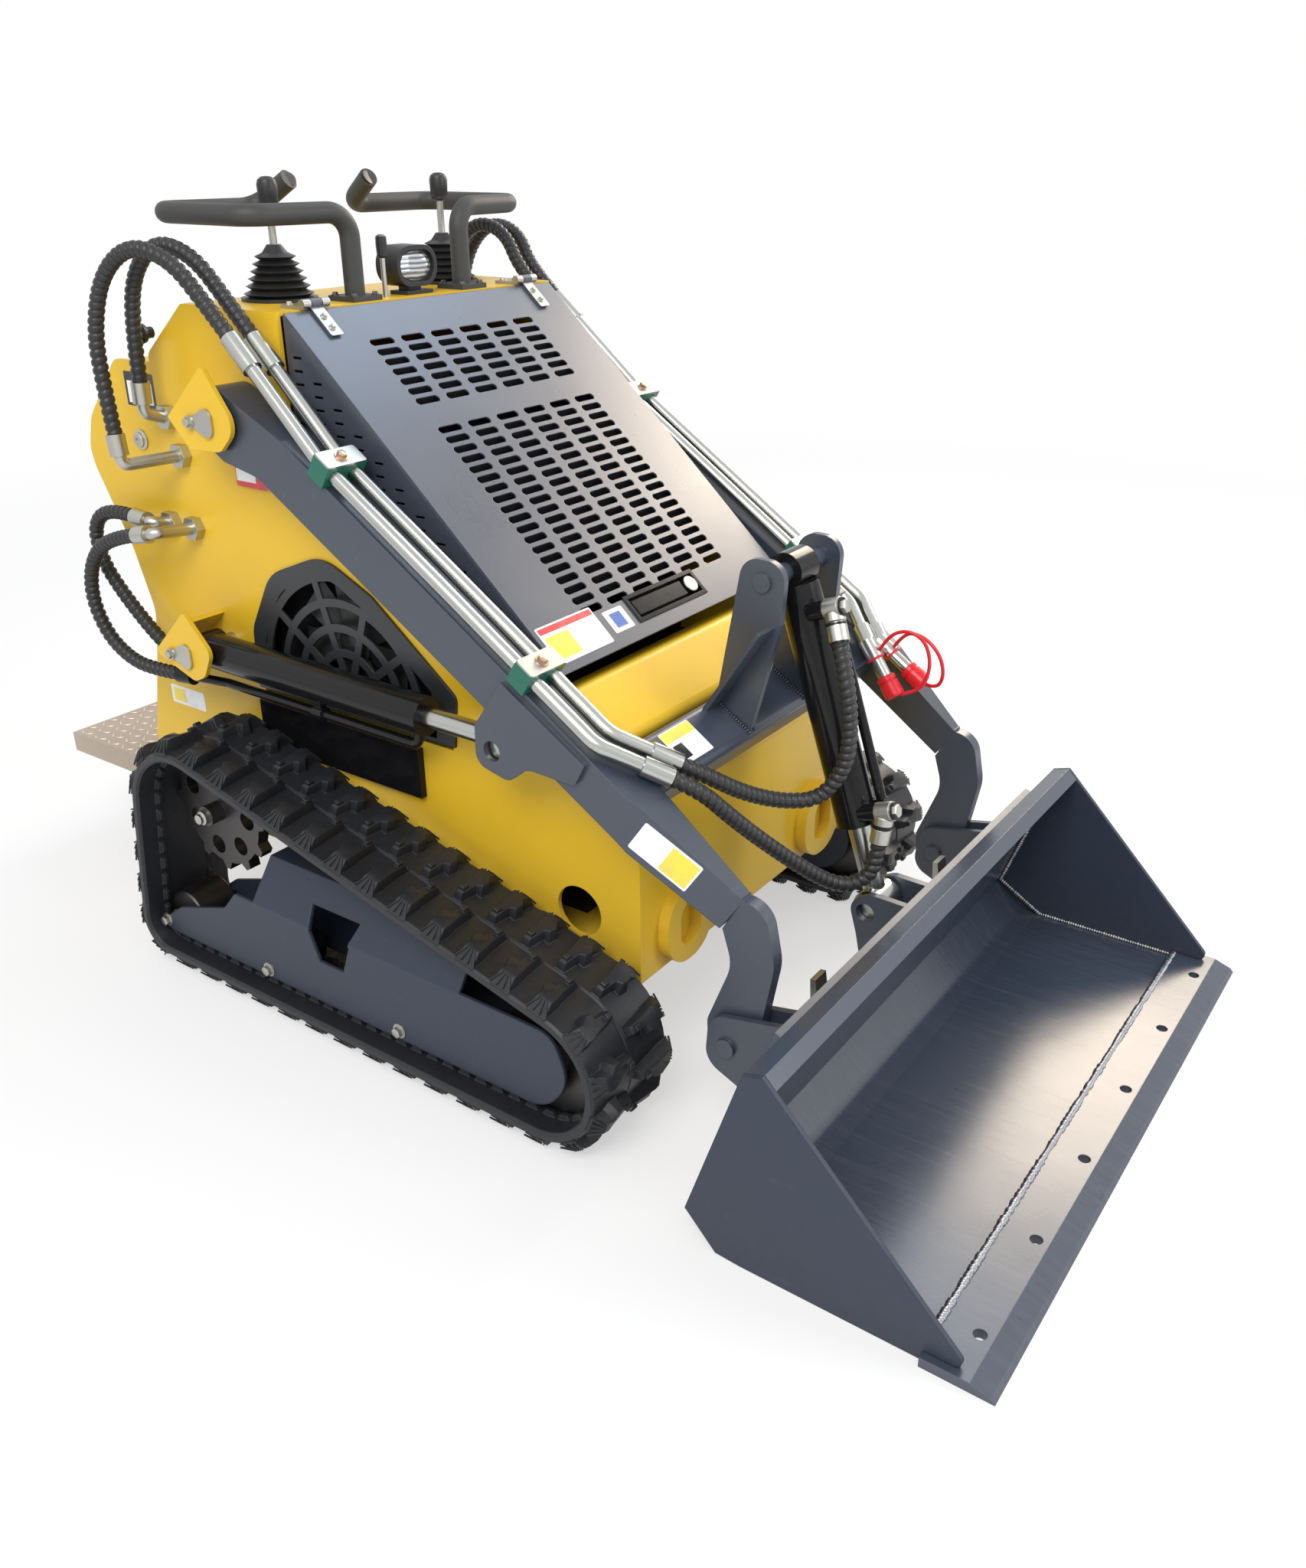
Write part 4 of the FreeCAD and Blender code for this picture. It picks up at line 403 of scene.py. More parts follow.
for finish, names in finishes.items():
    for name in names:
        part = parts[name]
        if not part.material_slots:
            part.data.materials.append(finish)
        for place in part.material_slots:
            place.link = "OBJECT"
            place.material = finish
        dressed += 1
print("dressed", dressed, "of", len(parts), "parts")

# %% [markdown]
# ## Helpers for new pieces
# Each piece starts as a bmesh, gets its normals recalculated, and becomes an object at
# the origin that rides on a body.

# %% From a bmesh to a piece
both_sides = (-1, 1)
named_sides = ((-1, "right"), (1, "left"))


def piece(name, shape, finish, body, smooth=30):
    bmesh.ops.recalc_face_normals(shape, faces=shape.faces)
    mesh = bpy.data.meshes.new(name)
    shape.to_mesh(mesh)
    shape.free()
    for one in finish if isinstance(finish, (list, tuple)) else [finish]:
        mesh.materials.append(one)
    made = bpy.data.objects.new(name, mesh)
    bpy.context.scene.collection.objects.link(made)
    if smooth:
        mesh.shade_smooth()
        mesh.set_sharp_from_angle(angle=math.radians(smooth))
    if body:
        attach(made, body)
    return made


def facing(spot, axis, turn=(0, 0, 1)):
    """A matrix at spot whose Z is axis and whose X is as near turn as it can be."""
    up = Vector(axis).normalized()
    side = Vector(turn) - up * Vector(turn).dot(up)
    if side.length < 1e-4:
        side = up.orthogonal()
    side.normalize()
    across = up.cross(side)
    grid = Matrix((side, across, up)).transposed().to_4x4()
    grid.translation = Vector(spot)
    return grid


def stamp(shape, pattern, grids):
    """Put a copy of the small shape into the big one at every matrix."""
    mesh = bpy.data.meshes.new("pattern")
    pattern.to_mesh(mesh)
    pattern.free()
    for grid in grids:
        copy = mesh.copy()
        copy.transform(grid)
        shape.from_mesh(copy)
        bpy.data.meshes.remove(copy)
    bpy.data.meshes.remove(mesh)


def metres(spot):
    return Vector(spot) / 1000


def corners(parts):
    """Only the vertices among what an operator made."""
    return [part for part in parts if isinstance(part, bmesh.types.BMVert)]


def turned(outline, steps=28):
    """Spin a half outline of (radius, height), in millimetres, round Z into a closed solid."""
    shape = bmesh.new()
    spots = [shape.verts.new((radius / 1000, 0, height / 1000)) for radius, height in outline]
    edges = [shape.edges.new(ends) for ends in zip(spots, spots[1:])]
    bmesh.ops.spin(shape, geom=spots + edges, cent=(0, 0, 0), axis=(0, 0, 1), angle=math.tau,
                   steps=steps, use_merge=True)
    bmesh.ops.remove_doubles(shape, verts=shape.verts, dist=1e-6)
    return shape


def turned_piece(name, outline, places, finish, body, steps=28):
    """One outline spun and put at every (spot, axis), as one piece."""
    shape = bmesh.new()
    stamp(shape, turned(outline, steps), [facing(metres(spot), axis) for spot, axis in places])
    return piece(name, shape, finish, body)


print("piece helpers ready")

# %% [markdown]
# ## Curves for cords
# Hoses and cords are round tubes along a smooth line. A NURBS curve gives the line, and
# its own bevel gives the tube, with no vertex placed by hand. The curve is then made a
# mesh, because the export takes only meshes.

# %% From a route to a tube
def smooth_curve(name, route, steps):
    """A curve object without thickness. The route is in millimetres."""
    curve = bpy.data.curves.new(name, "CURVE")
    curve.dimensions = "3D"
    spline = curve.splines.new("NURBS")
    spline.points.add(len(route) - 1)
    for point, spot in zip(spline.points, route):
        point.co = (*(v / 1000 for v in spot), 1)
    spline.order_u = 3
    spline.use_endpoint_u = True
    spline.resolution_u = steps
    made = bpy.data.objects.new(name + "_line", curve)
    bpy.context.scene.collection.objects.link(made)
    return made


def tube_mesh(line, radius, roundness, capped):
    """The curve object as a tube's mesh. The curve itself is removed."""
    line.data.bevel_depth = radius
    line.data.bevel_resolution = roundness
    line.data.use_fill_caps = capped
    bpy.context.view_layer.update()
    mesh = bpy.data.meshes.new_from_object(line.evaluated_get(bpy.context.evaluated_depsgraph_get()))
    bpy.data.objects.remove(line)
    return mesh


def tube_piece(name, mesh, finish):
    mesh.materials.clear()
    mesh.materials.append(finish)
    made = bpy.data.objects.new(name, mesh)
    bpy.context.scene.collection.objects.link(made)
    mesh.shade_smooth()
    return made


print("tube helpers ready")

# %% [markdown]
# ## Hydraulic hoses
# Each hose is held at both ends by a crimped fitting and bends freely between. The guard
# is a strip of plastic wound round the hose, so the tube's rings are pushed in along a
# spiral groove. The hoses ride on no body and stay where they lie in the rest pose.

# %% A guarded hose
hose_radius = 0.0122
guard_pitch = 0.0125
guard_depth = 0.0022
groove_width = 0.13
crown_height = 0.12


def hose(name, route, second):
    line_object = smooth_curve(name, route, 56)
    centre = bpy.data.meshes.new_from_object(line_object)
    line = [v.co.copy() for v in centre.vertices]
    bpy.data.meshes.remove(centre)
    mesh = tube_mesh(line_object, hose_radius, 4, False)
    around = len(mesh.vertices) // len(line)
    run = 0.0
    for ring, middle in enumerate(line):
        if ring:
            run += (middle - line[ring - 1]).length
        for step in range(around):
            spot = mesh.vertices[ring * around + step]
            turn = (run / guard_pitch - step / around) % 1
            groove = math.exp(-((turn - 0.5) / groove_width) ** 2)
            crown = crown_height * math.cos(math.tau * turn)
            spot.co = middle + (spot.co - middle) * (1 - (groove - crown) * guard_depth / hose_radius)
    made = tube_piece(name, mesh, hose_guard)
    [v / 1000 for v in route[0]]
    [v / 1000 for v in route[-1]]
    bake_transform(made)
    print(name, "length", round(run * 1000), "mm,", len(mesh.polygons), "faces")
    return made


print("hose guard groove", guard_depth * 1000, "mm deep")


# %% Hose routes, in millimetres, machine's right side
def run_back(end, heading, away):
    """The place that lies away from an end, along its heading."""
    return tuple(e + h * away for e, h in zip(end, heading))


pipe_ends = [(-304.6, -377.7, 1097.8), (-299.4, -339.6, 1094.7)]
pipe_headings = [(-0.752, 0.053, 0.657), (-0.748, 0.055, 0.661)]
arm_routes = [
    [(-573, -418, 935), (-580, -418, 1005), (-582, -417, 1090), (-548, -412, 1175), (-480, -402, 1222),
     (-402, -392, 1205), run_back(pipe_ends[0], pipe_headings[0], 75), pipe_ends[0]],
    [(-566, -362, 1010), (-562, -362, 1100), (-537, -361, 1178), (-475, -358, 1225), (-400, -351, 1207),
     run_back(pipe_ends[1], pipe_headings[1], 75), pipe_ends[1]],
]
lift_routes = [
    [(-650, -358, 777), (-722, -358, 782), (-778, -358, 745), (-772, -358, 680), (-727, -358, 628),
     (-662, -357, 572), (-612, -356, 541), (-553, -356, 541)],
    [(-592, -398, 762), (-680, -398, 744), (-745, -397, 690), (-765, -396, 620), (-735, -396, 556),
     (-672, -398, 524), (-615.4, -392.6, 515.9), (-556, -384, 517)],
]
tilt_routes = [
    [(439.4, -289.9, 570.3), (470, -264.4, 549.5), (487, -200, 503), (510, -125, 464), (545, -72, 455),
     (573, -52, 500), (580, -48, 550), (577, -49, 604), (565.4, -48.7, 660), (548, -36, 696)],
    [(448.4, -323.9, 564.4), (479, -298.4, 543.6), (500, -260, 497), (520, -205, 440), (551, -138, 374),
     (574, -93, 334), (598, -65, 319), (615, -45, 326), (626.1, -30.5, 343.5), (628, -24, 385)],
]
print("hose routes:", len(arm_routes), len(lift_routes), len(tilt_routes))


# %% Make all ten hoses
def mirrored(route):
    return [(x, -y, z) for x, y, z in route]


arm_hose_set, lift_hose_set, tilt_hose_set = [], {"right": [], "left": []}, []
for number, route in enumerate(arm_routes):
    for side, line in (("right", route), ("left", mirrored(route))):
        arm_hose_set.append(hose("arm_hose_%s_%d" % (side, number), line, "arms"))
for number, route in enumerate(lift_routes):
    for side, line in (("right", route), ("left", mirrored(route))):
        made = hose("lift_hose_%s_%d" % (side, number), line, "lift_barrel_" + side)
        lift_hose_set[side].append(made)
for number, route in enumerate(tilt_routes):
    tilt_hose_set.append(hose("tilt_hose_%d" % number, route, "tilt_barrel"))
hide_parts("arm_hoses")
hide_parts("lift_hoses_right")
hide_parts("lift_hoses_left")
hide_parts("tilt_hoses")

# %% [markdown]
# ## The track's loop
# A track is one endless belt of rubber round a sprocket and two idlers. Two neighbouring
# wheels share a tangent, and where it touches follows from their radii, so three wheels
# give the whole loop: three arcs and three straights.

# %% The loop round the three wheels
wheels = [(0.339, 0.137, 0.0965), (-0.417, 0.315, 0.1145), (-0.521, 0.085, 0.0445)]
track_middle = 0.435
belt_outside = 0.0175
lug_count = 37


def outward(angle):
    return Vector((math.cos(angle), 0, math.sin(angle)))


def tangent_angles():
    """The angle at which the belt leaves each wheel for the next one."""
    leaving = []
    for (x, z, radius), (next_x, next_z, next_radius) in zip(wheels, wheels[1:] + wheels[:1]):
        reach = math.hypot(next_x - x, next_z - z)
        heading = math.atan2(next_z - z, next_x - x)
        leaving.append(heading - math.pi / 2 - math.asin((next_radius - radius) / reach))
    return leaving


leaving = tangent_angles()
arcs = []
for number, (x, z, radius) in enumerate(wheels):
    first_angle, last_angle = leaving[number - 1], leaving[number]
    while last_angle < first_angle:
        last_angle += math.tau
    arcs.append((Vector((x, 0, z)), radius, first_angle, last_angle))
print("arcs", [round(math.degrees(last - first)) for middle, radius, first, last in arcs])

# %% [markdown]
# ## Lugs at equal steps
# The lugs are all alike, so one is modelled and stamped along the belt: two staggered rows,
# each lug with a hooked middle, a square nub and four ribs that run down its outer slope.
# A place on the belt is found from the distance run along the arcs and straights.

# %% Places of the lugs
def stations():
    """Runs round the belt's outside: (length, kind, middle and rim or both ends, two angles)."""
    runs = []
    for number, (middle, radius, first, last) in enumerate(arcs):
        rim = radius + belt_outside
        runs.append((rim * (last - first), "arc", middle, rim, first, last))
        next_middle, next_radius = arcs[(number + 1) % 3][:2]
        start = middle + outward(last) * rim
        end = next_middle + outward(last) * (next_radius + belt_outside)
        runs.append(((end - start).length, "line", start, end, last, last))
    return runs


def lug_grid(distance, runs):
    """Matrix at a distance along the belt: X along it, Y to the machine's right, Z outwards."""
    distance %= sum(run[0] for run in runs)
    for length, kind, start, end, first, last in runs:
        if distance <= length:
            break
        distance -= length
    share = min(1, distance / length)
    angle = first + (last - first) * share
    spot = start + outward(angle) * end if kind == "arc" else start.lerp(end, share)
    return facing(spot - Vector((0, track_middle, 0)), outward(angle), outward(angle + math.pi / 2))


belt_runs = stations()
belt_length = sum(run[0] for run in belt_runs)
lug_pitch = belt_length / lug_count
print("belt", round(belt_length * 1000), "mm, lug pitch", round(lug_pitch * 1000, 1))


# %% One lug
def lug_shape():
    """The outline is in millimetres at the belt, and the crown gives each corner's top."""
    outline = [(-17, 90), (17, 90), (15, 64), (24, 53), (22, 36), (11, 38), (9, 5), (-9, 5), (-12, 42),
               (-16, 64)]
    crown = [(-13, 75, 19.4), (13, 75, 19.4), (12, 64, 21.8), (19, 53, 21.8), (18, 41, 20.4), (8, 38, 17.6),
             (6, 9, 15), (-6, 9, 15), (-9, 42, 18.6), (-13, 64, 21.8)]
    shape = bmesh.new()
    foot = shape.faces.new([shape.verts.new((x / 1000, y / 1000, -0.002)) for x, y in outline])
    grown = bmesh.ops.extrude_face_region(shape, geom=[foot])["geom"]
    tops = {}
    for part in grown:
        if isinstance(part, bmesh.types.BMVert):
            tops[(round(part.co.x * 1000), round(part.co.y * 1000))] = part
    for spot, (x, y, z) in zip(outline, crown):
        tops[spot].co = (x / 1000, y / 1000, z / 1000)
    rim = [edge for edge in shape.edges if all(v.co.z > 0.01 for v in edge.verts)]
    bmesh.ops.bevel(shape, geom=rim, offset=0.0022, offset_type="OFFSET", affect="EDGES", segments=2,
                    profile=0.5, material=-1, clamp_overlap=True)
    nub = bmesh.ops.create_cube(shape, size=1)["verts"]
    bmesh.ops.scale(shape, vec=(0.0095, 0.011, 0.012), verts=nub)
    bmesh.ops.translate(shape, vec=(0, 0.018, 0.016), verts=nub)
    nub_top = [e for v in nub for e in v.link_edges if all(w.co.z > 0.02 for w in e.verts)]
    bmesh.ops.bevel(shape, geom=list(set(nub_top)), offset=0.0015, offset_type="OFFSET", affect="EDGES",
                    segments=1, profile=0.5, material=-1)
    for side in (-1.5, -0.5, 0.5, 1.5):
        top = Vector((side * 0.0045, 0.0755, 0.0195))
        low = Vector((side * 0.0125, 0.0895, 0.003))
        rib = bmesh.ops.create_cube(shape, size=1)["verts"]
        grid = facing((top + low) / 2, low - top, (1, 0, 0))
        stretch = Matrix.Diagonal((0.0016, 0.0030, (low - top).length, 1))
        bmesh.ops.transform(shape, verts=rib, matrix=grid @ stretch)
    return shape


print("lug shape ready")

# %% [markdown]
# ## The belt
# The belt's section is drawn once as a ring of edges. It is spun round each wheel and
# pushed along each straight, which is exactly how the belt lies, and it closes on itself.
# Small tapered blocks on the inside keep the wheels in line.

# %% The belt and its lugs
guide_across = 0.0495
guide_under = 0.0205


def belt_band():
    half, edge = 0.090, 0.004
    section = [(-half, 0.0045), (-half, 0.0135), (-half + edge, belt_outside), (-0.003, belt_outside),
               (0, belt_outside - 0.0035), (0.003, belt_outside), (half - edge, belt_outside), (half, 0.0135),
               (half, 0.0045), (half - edge, 0.0005), (-half + edge, 0.0005)]
    shape = bmesh.new()
    middle, radius, first, last = arcs[0]
    ring = [shape.verts.new(middle + outward(first) * (radius + high) + Vector((0, across - track_middle, 0)))
            for across, high in section]
    front = [shape.edges.new(ends) for ends in zip(ring, ring[1:] + ring[:1])]
    for number, (middle, radius, first, last) in enumerate(arcs):
        steps = max(6, round((last - first) / 0.14))
        swept = bmesh.ops.spin(shape, geom=front, cent=middle, axis=(0, -1, 0), angle=last - first,
                               steps=steps)
        front = [part for part in swept["geom_last"] if isinstance(part, bmesh.types.BMEdge)]
        next_middle, next_radius = arcs[(number + 1) % 3][:2]
        move = next_middle + outward(last) * next_radius - middle - outward(last) * radius
        pushed = bmesh.ops.extrude_edge_only(shape, edges=front)["geom"]
        bmesh.ops.translate(shape, vec=move, verts=corners(pushed))
        front = [part for part in pushed if isinstance(part, bmesh.types.BMEdge)]
        front = [edge for edge in front if len(edge.link_faces) == 1]
    bmesh.ops.remove_doubles(shape, verts=shape.verts, dist=2e-5)
    return shape


def guide_shape():
    """The small tapered blocks inside the belt that keep the wheels in line."""
    shape = bmesh.new()
    bmesh.ops.create_cone(shape, cap_ends=True, segments=4, radius1=0.012, radius2=0.007, depth=0.009)
    bmesh.ops.rotate(shape, verts=shape.verts, cent=(0, 0, 0), matrix=Matrix.Rotation(math.pi / 4, 3, "Z"))
    bmesh.ops.scale(shape, vec=(1.5, 0.62, 1), verts=shape.verts)
    return shape


def track(name, side, node):
    shape = belt_band()
    outer = [lug_grid(step * lug_pitch, belt_runs) for step in range(lug_count)]
    inner = [lug_grid((step + 0.5) * lug_pitch, belt_runs) @ Matrix.Diagonal((-1, -1, 1, 1))
             for step in range(lug_count)]
    stamp(shape, lug_shape(), outer + inner)
    guides = [lug_grid(step * lug_pitch / 2, belt_runs) @ Matrix.Translation((0, across, -guide_under))
              @ Matrix.Diagonal((1, 1, -1, 1))
              for step in range(lug_count * 2) for across in (-guide_across, guide_across)]
    stamp(shape, guide_shape(), guides)
    bmesh.ops.scale(shape, vec=(1, side, 1), verts=shape.verts)
    made = piece(name, shape, track_rubber, "chassis", 35)
    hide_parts(node)
    print(name, len(made.data.polygons), "faces")


track("rubber_track_right", 1, "track_right")
track("rubber_track_left", -1, "track_left")

# %% [markdown]
# ## Behind the slots and grilles
# Through the hood's slots and the fan grilles one sees only darkness and a hint of fins. A
# pleated near-black sheet close behind the holes is painted shade that gives that: a plain
# grid whose every second column is moved back, with a thin flat sheet of painted shade
# inside each side of the hood.

# %% Pleated cores of painted shade
def pleated(wide, high, pleats, deep):
    shape = bmesh.new()
    bmesh.ops.create_grid(shape, x_segments=pleats * 2, y_segments=1, size=0.5)
    for spot in shape.verts:
        column = round((spot.co.x + 0.5) * pleats * 2)
        spot.co = (spot.co.x * wide, spot.co.y * high, deep if column % 2 else 0)
    bmesh.ops.solidify(shape, geom=shape.faces[:], thickness=0.0008)
    return shape


def on_hood(down, across, up):
    """A place on the hood's slope, in metres, from millimetres down, across and up from it."""
    return Vector((-270 + 0.7428 * down + 0.6695 * up, across, 1130 - 0.6695 * down + 0.7428 * up)) / 1000


def on_arm(along, across, up):
    """A place on the right arm's top line, in metres."""
    return Vector((-192.6 + 0.8366 * along + 0.5478 * up, across,
                   963.4 - 0.5478 * along + 0.8366 * up)) / 1000


hood_normal = (0.6695, 0, 0.7428)
arm_normal = (0.5478, 0, 0.8366)
hood_half = -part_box("hood_side_right")[0][1]
core = bmesh.new()
stamp(core, pleated((hood_half - 0.012) * 2, 0.52, 90, 0.004),
      [facing(on_hood(342, 0, -17), hood_normal, (0, 1, 0))])
piece("hood_shade_core", core, shade_core_finish, "hood", 0)
for side, name in named_sides:
    line = [(-250, 1092), (224, 665), (214, 648), (-250, 892)]
    sheet = bmesh.new()
    spots = [(x / 1000, side * (hood_half - 0.010), z / 1000) for x, z in line]
    base = sheet.faces.new([sheet.verts.new(spot) for spot in spots])
    grown = bmesh.ops.extrude_face_region(sheet, geom=[base])["geom"]
    bmesh.ops.translate(sheet, vec=(0, -side * 0.0012, 0), verts=corners(grown))
    piece("hood_liner_" + name, sheet, shade_core_finish, "hood", 0)
print("hood cores ready")

# %% [markdown]
# ## Radiators and fans
# Behind each round grille stands a fan in front of a finned core. The fan is a turned hub
# with seven blades: one small grid, widened and twisted towards its tip, given a thickness
# and stamped round the hub.

# %% Radiators and fans behind the grilles
fan_x, fan_z = -190, 620
core_y, fan_y = 286, 292
blade_count = 7
for side, name in named_sides:
    radiator = bmesh.new()
    stamp(radiator, pleated(0.44, 0.25, 70, 0.004),
          [facing(metres((fan_x, side * core_y, fan_z)), (0, side, 0), (1, 0, 0))])
    # the radiator's near-black finish is partly its own dark colour and partly painted shade behind the
    # grille
    piece("radiator_" + name, radiator, shade_core_finish, "chassis", 0)
    fan = bmesh.new()
    fan_grid = facing(metres((fan_x, side * fan_y, fan_z)), (0, side, 0))
    stamp(fan, turned([(0, 0), (32, 0), (34, 2), (34, 12), (30, 15), (0, 16)], 24), [fan_grid])
    blade = bmesh.new()
    bmesh.ops.create_grid(blade, x_segments=6, y_segments=3, size=0.5)
    for spot in blade.verts:
        reach, across = spot.co.x + 0.5, spot.co.y
        wide = 0.040 + 0.03 * reach
        lift = math.sin(0.75 - 0.3 * reach)
        spot.co = (0.030 + reach * 0.085, across * wide, 0.008 + across * 0.016 * lift)
    bmesh.ops.solidify(blade, geom=blade.faces[:], thickness=0.0015)
    stamp(fan, blade, [fan_grid @ Matrix.Rotation(math.tau * step / blade_count, 4, "Z")
                       for step in range(blade_count)])
    piece("fan_" + name, fan, black_plastic, "chassis", 40)
print("fans ready")

# %% [markdown]
# ## Bolts, nuts and washers
# Fasteners are small, but a machine without them looks like a toy. One hex head with a
# chamfer and a washer is modelled, and stamped wherever the photograph shows one.

# %% Hex bolts
def hex_bolt(radius, high):
    shape = bmesh.new()
    bmesh.ops.create_cone(shape, cap_ends=True, segments=6, radius1=radius, radius2=radius, depth=high)
    bmesh.ops.translate(shape, verts=shape.verts, vec=(0, 0, high / 2 + 1.2))
    rim = [edge for edge in shape.edges if all(v.co.z > high + 0.6 for v in edge.verts)]
    bmesh.ops.bevel(shape, geom=rim, offset=radius * 0.16, offset_type="OFFSET", affect="EDGES", segments=2,
                    profile=0.5, material=-1)
    washer = bmesh.ops.create_cone(shape, cap_ends=True, segments=20, radius1=radius * 1.38,
                                   radius2=radius * 1.38, depth=1.8)["verts"]
    bmesh.ops.translate(shape, verts=washer, vec=(0, 0, 0.6))
    bmesh.ops.scale(shape, verts=shape.verts, vec=(0.001, 0.001, 0.001))
    return shape


def bolts(name, places, radius, high, finish, body):
    """places holds (spot in millimetres, axis) for each bolt."""
    shape = bmesh.new()
    stamp(shape, hex_bolt(radius, high), [facing(metres(spot), axis, (1, 0, 0.3)) for spot, axis in places])
    return piece(name, shape, finish, body)


hinge_places = (-245, 245)
clamp_places = (87, 520)
clamp_y = 371
handle_bolts = [((x, y * side, 1138), (0, 0, 1)) for side in both_sides for x in (-328, -284)
                for y in (102, 146)]
bolts("handle_bolts", handle_bolts, 4.6, 4, dark_steel, "chassis")
hinge_bolts = [((-303, y + extra, 1135), (0, 0, 1)) for y in hinge_places for extra in (-17, 17)]
bolts("hinge_bolts", hinge_bolts, 4.2, 3.6, zinc_steel, "chassis")
leaf_bolts = [(tuple(on_hood(down, y, 8) * 1000), hood_normal) for y in hinge_places for down in (24, 46)]
bolts("leaf_bolts", leaf_bolts, 4.2, 3.6, zinc_steel, "hood")
keeper_bolts = [((x - 36, side * 419, z - 2), (0, side, 0)) for side in both_sides
                for x, z in ((-339, 977), (-485, 574))]
bolts("keeper_bolts", keeper_bolts, 7.5, 6.5, zinc_steel, "chassis")
frame_bolts = [((x, side * 498, z), (0, side, 0)) for side in both_sides
               for x, z in ((-547, 77), (-271, 73), (41, 75))]
bolts("frame_bolts", frame_bolts, 9.5, 9, zinc_steel, "chassis")
clamp_bolts = [(tuple(on_arm(along, side * clamp_y, 39) * 1000), arm_normal) for side in both_sides
               for along in clamp_places]
bolts("clamp_bolts", clamp_bolts, 7.5, 6, copper_bolt, "arms")
print("bolts ready")

# %% [markdown]
# ## Thin plates
# Clamp plates, hinge leaves and stickers are all flat cards with rounded corners: a grid
# of one face, pushed up to its thickness, with its four upright edges bevelled.

# %% Clamp plates and hinge leaves
def card_shape(wide, high, thick, corner, segments=3):
    """A flat plate with rounded corners, lying on its lower face."""
    shape = bmesh.new()
    bmesh.ops.create_grid(shape, x_segments=1, y_segments=1, size=0.5)
    bmesh.ops.scale(shape, vec=(wide / 1000, high / 1000, 1), verts=shape.verts)
    grown = bmesh.ops.extrude_face_region(shape, geom=shape.faces[:])["geom"]
    bmesh.ops.translate(shape, vec=(0, 0, thick / 1000), verts=corners(grown))
    posts = [edge for edge in shape.edges if abs(edge.verts[0].co.z - edge.verts[1].co.z) > thick / 2000]
    bmesh.ops.bevel(shape, geom=posts, offset=corner / 1000, offset_type="OFFSET", affect="EDGES",
                    segments=segments, profile=0.5, material=-1)
    return shape


plates = bmesh.new()
stamp(plates, card_shape(74, 34, 3, 4),
      [facing(on_arm(along, side * clamp_y, 36), arm_normal, (0, 1, 0)) for side in both_sides
       for along in clamp_places])
piece("clamp_plates", plates, zinc_steel, "arms")
leaves = bmesh.new()
stamp(leaves, card_shape(24, 60, 1.2, 3),
      [facing(on_hood(31, y, 6.8), hood_normal, (0, 1, 0)) for y in hinge_places])
piece("hinge_leaves", leaves, zinc_steel, "hood")
print("clamp plates and hinge leaves ready")

# %% [markdown]
# ## Weld beads
# A weld is a row of small overlapping ripples. A low ball is squashed along the seam and
# stamped every few millimetres, each a little different in size, from a fixed seed.

# %% Welds
chance = random.Random(7)
ripple_step = 4.5
ripple_squash = 0.62


def weld(name, lines, radius, finish, body):
    shape, ripple, grids = bmesh.new(), bmesh.new(), []
    bmesh.ops.create_icosphere(ripple, subdivisions=1, radius=0.001)
    for line in lines:
        for start, end in zip(line, line[1:]):
            start, end = metres(start), metres(end)
            count = max(2, int((end - start).length * 1000 / ripple_step))
            for number in range(count + 1):
                size = radius * chance.uniform(0.8, 1.2)
                spot = start.lerp(end, number / count)
                swollen = Matrix.Diagonal((size, size, size * ripple_squash, 1))
                grids.append(facing(spot, end - start) @ swollen)
    stamp(shape, ripple, grids)
    return piece(name, shape, finish, body, 60)


seam = [(716, 300), (634, 60), (718, 10.5), (972, 10.5)]
side_lines = [[(x, side * 533, z) for x, z in seam] for side in both_sides]
weld("bucket_side_welds", side_lines, 5.6, weld_metal, "bucket")
weld("edge_weld", [[(972.5, -532, 13), (972.5, 532, 13)]], 7.2, weld_metal, "bucket")
tube_lines = [[(x, side * 335, z) for x, z in ((364.7, 589.2), (437.3, 541.4))] for side in both_sides]
weld("cross_tube_welds", tube_lines, 4.2, slate_paint, "arms")
foot_lines = [[(372, side * y, 585), (432, side * y, 545.5)] for side in both_sides for y in (76, 92)]
weld("bracket_welds", foot_lines, 3.4, slate_paint, "arms")
print("welds ready")

# %% [markdown]
# ## Stickers
# Stickers are thin vinyl cards. These are blank, with plain coloured fields. Each field
# is a smaller card that stands a little proud of the one below, so the edges stay sharp.

# %% Blank stickers
sticker_finishes = [sticker_white, sticker_yellow, sticker_red, sticker_blue, sticker_black]
white, yellow, red, blue, black = range(5)


def sticker(name, grid, wide, high, fields, body, base=0):
    """fields are (x, y, wide, high, finish number) in millimetres from the middle."""
    shape = bmesh.new()
    layers = [(0, 0, wide, high, base, 0.0, 0.4, 2.5)] + [(*field, 0.4, 0.15, 1.0) for field in fields]
    for x, y, field_wide, field_high, number, lift, thick, corner in layers:
        card = card_shape(field_wide, field_high, thick, corner, 2)
        for face in card.faces:
            face.material_index = number
        stamp(shape, card, [grid @ Matrix.Translation((x / 1000, y / 1000, lift / 1000))])
    return piece(name, shape, sticker_finishes, body, 0)


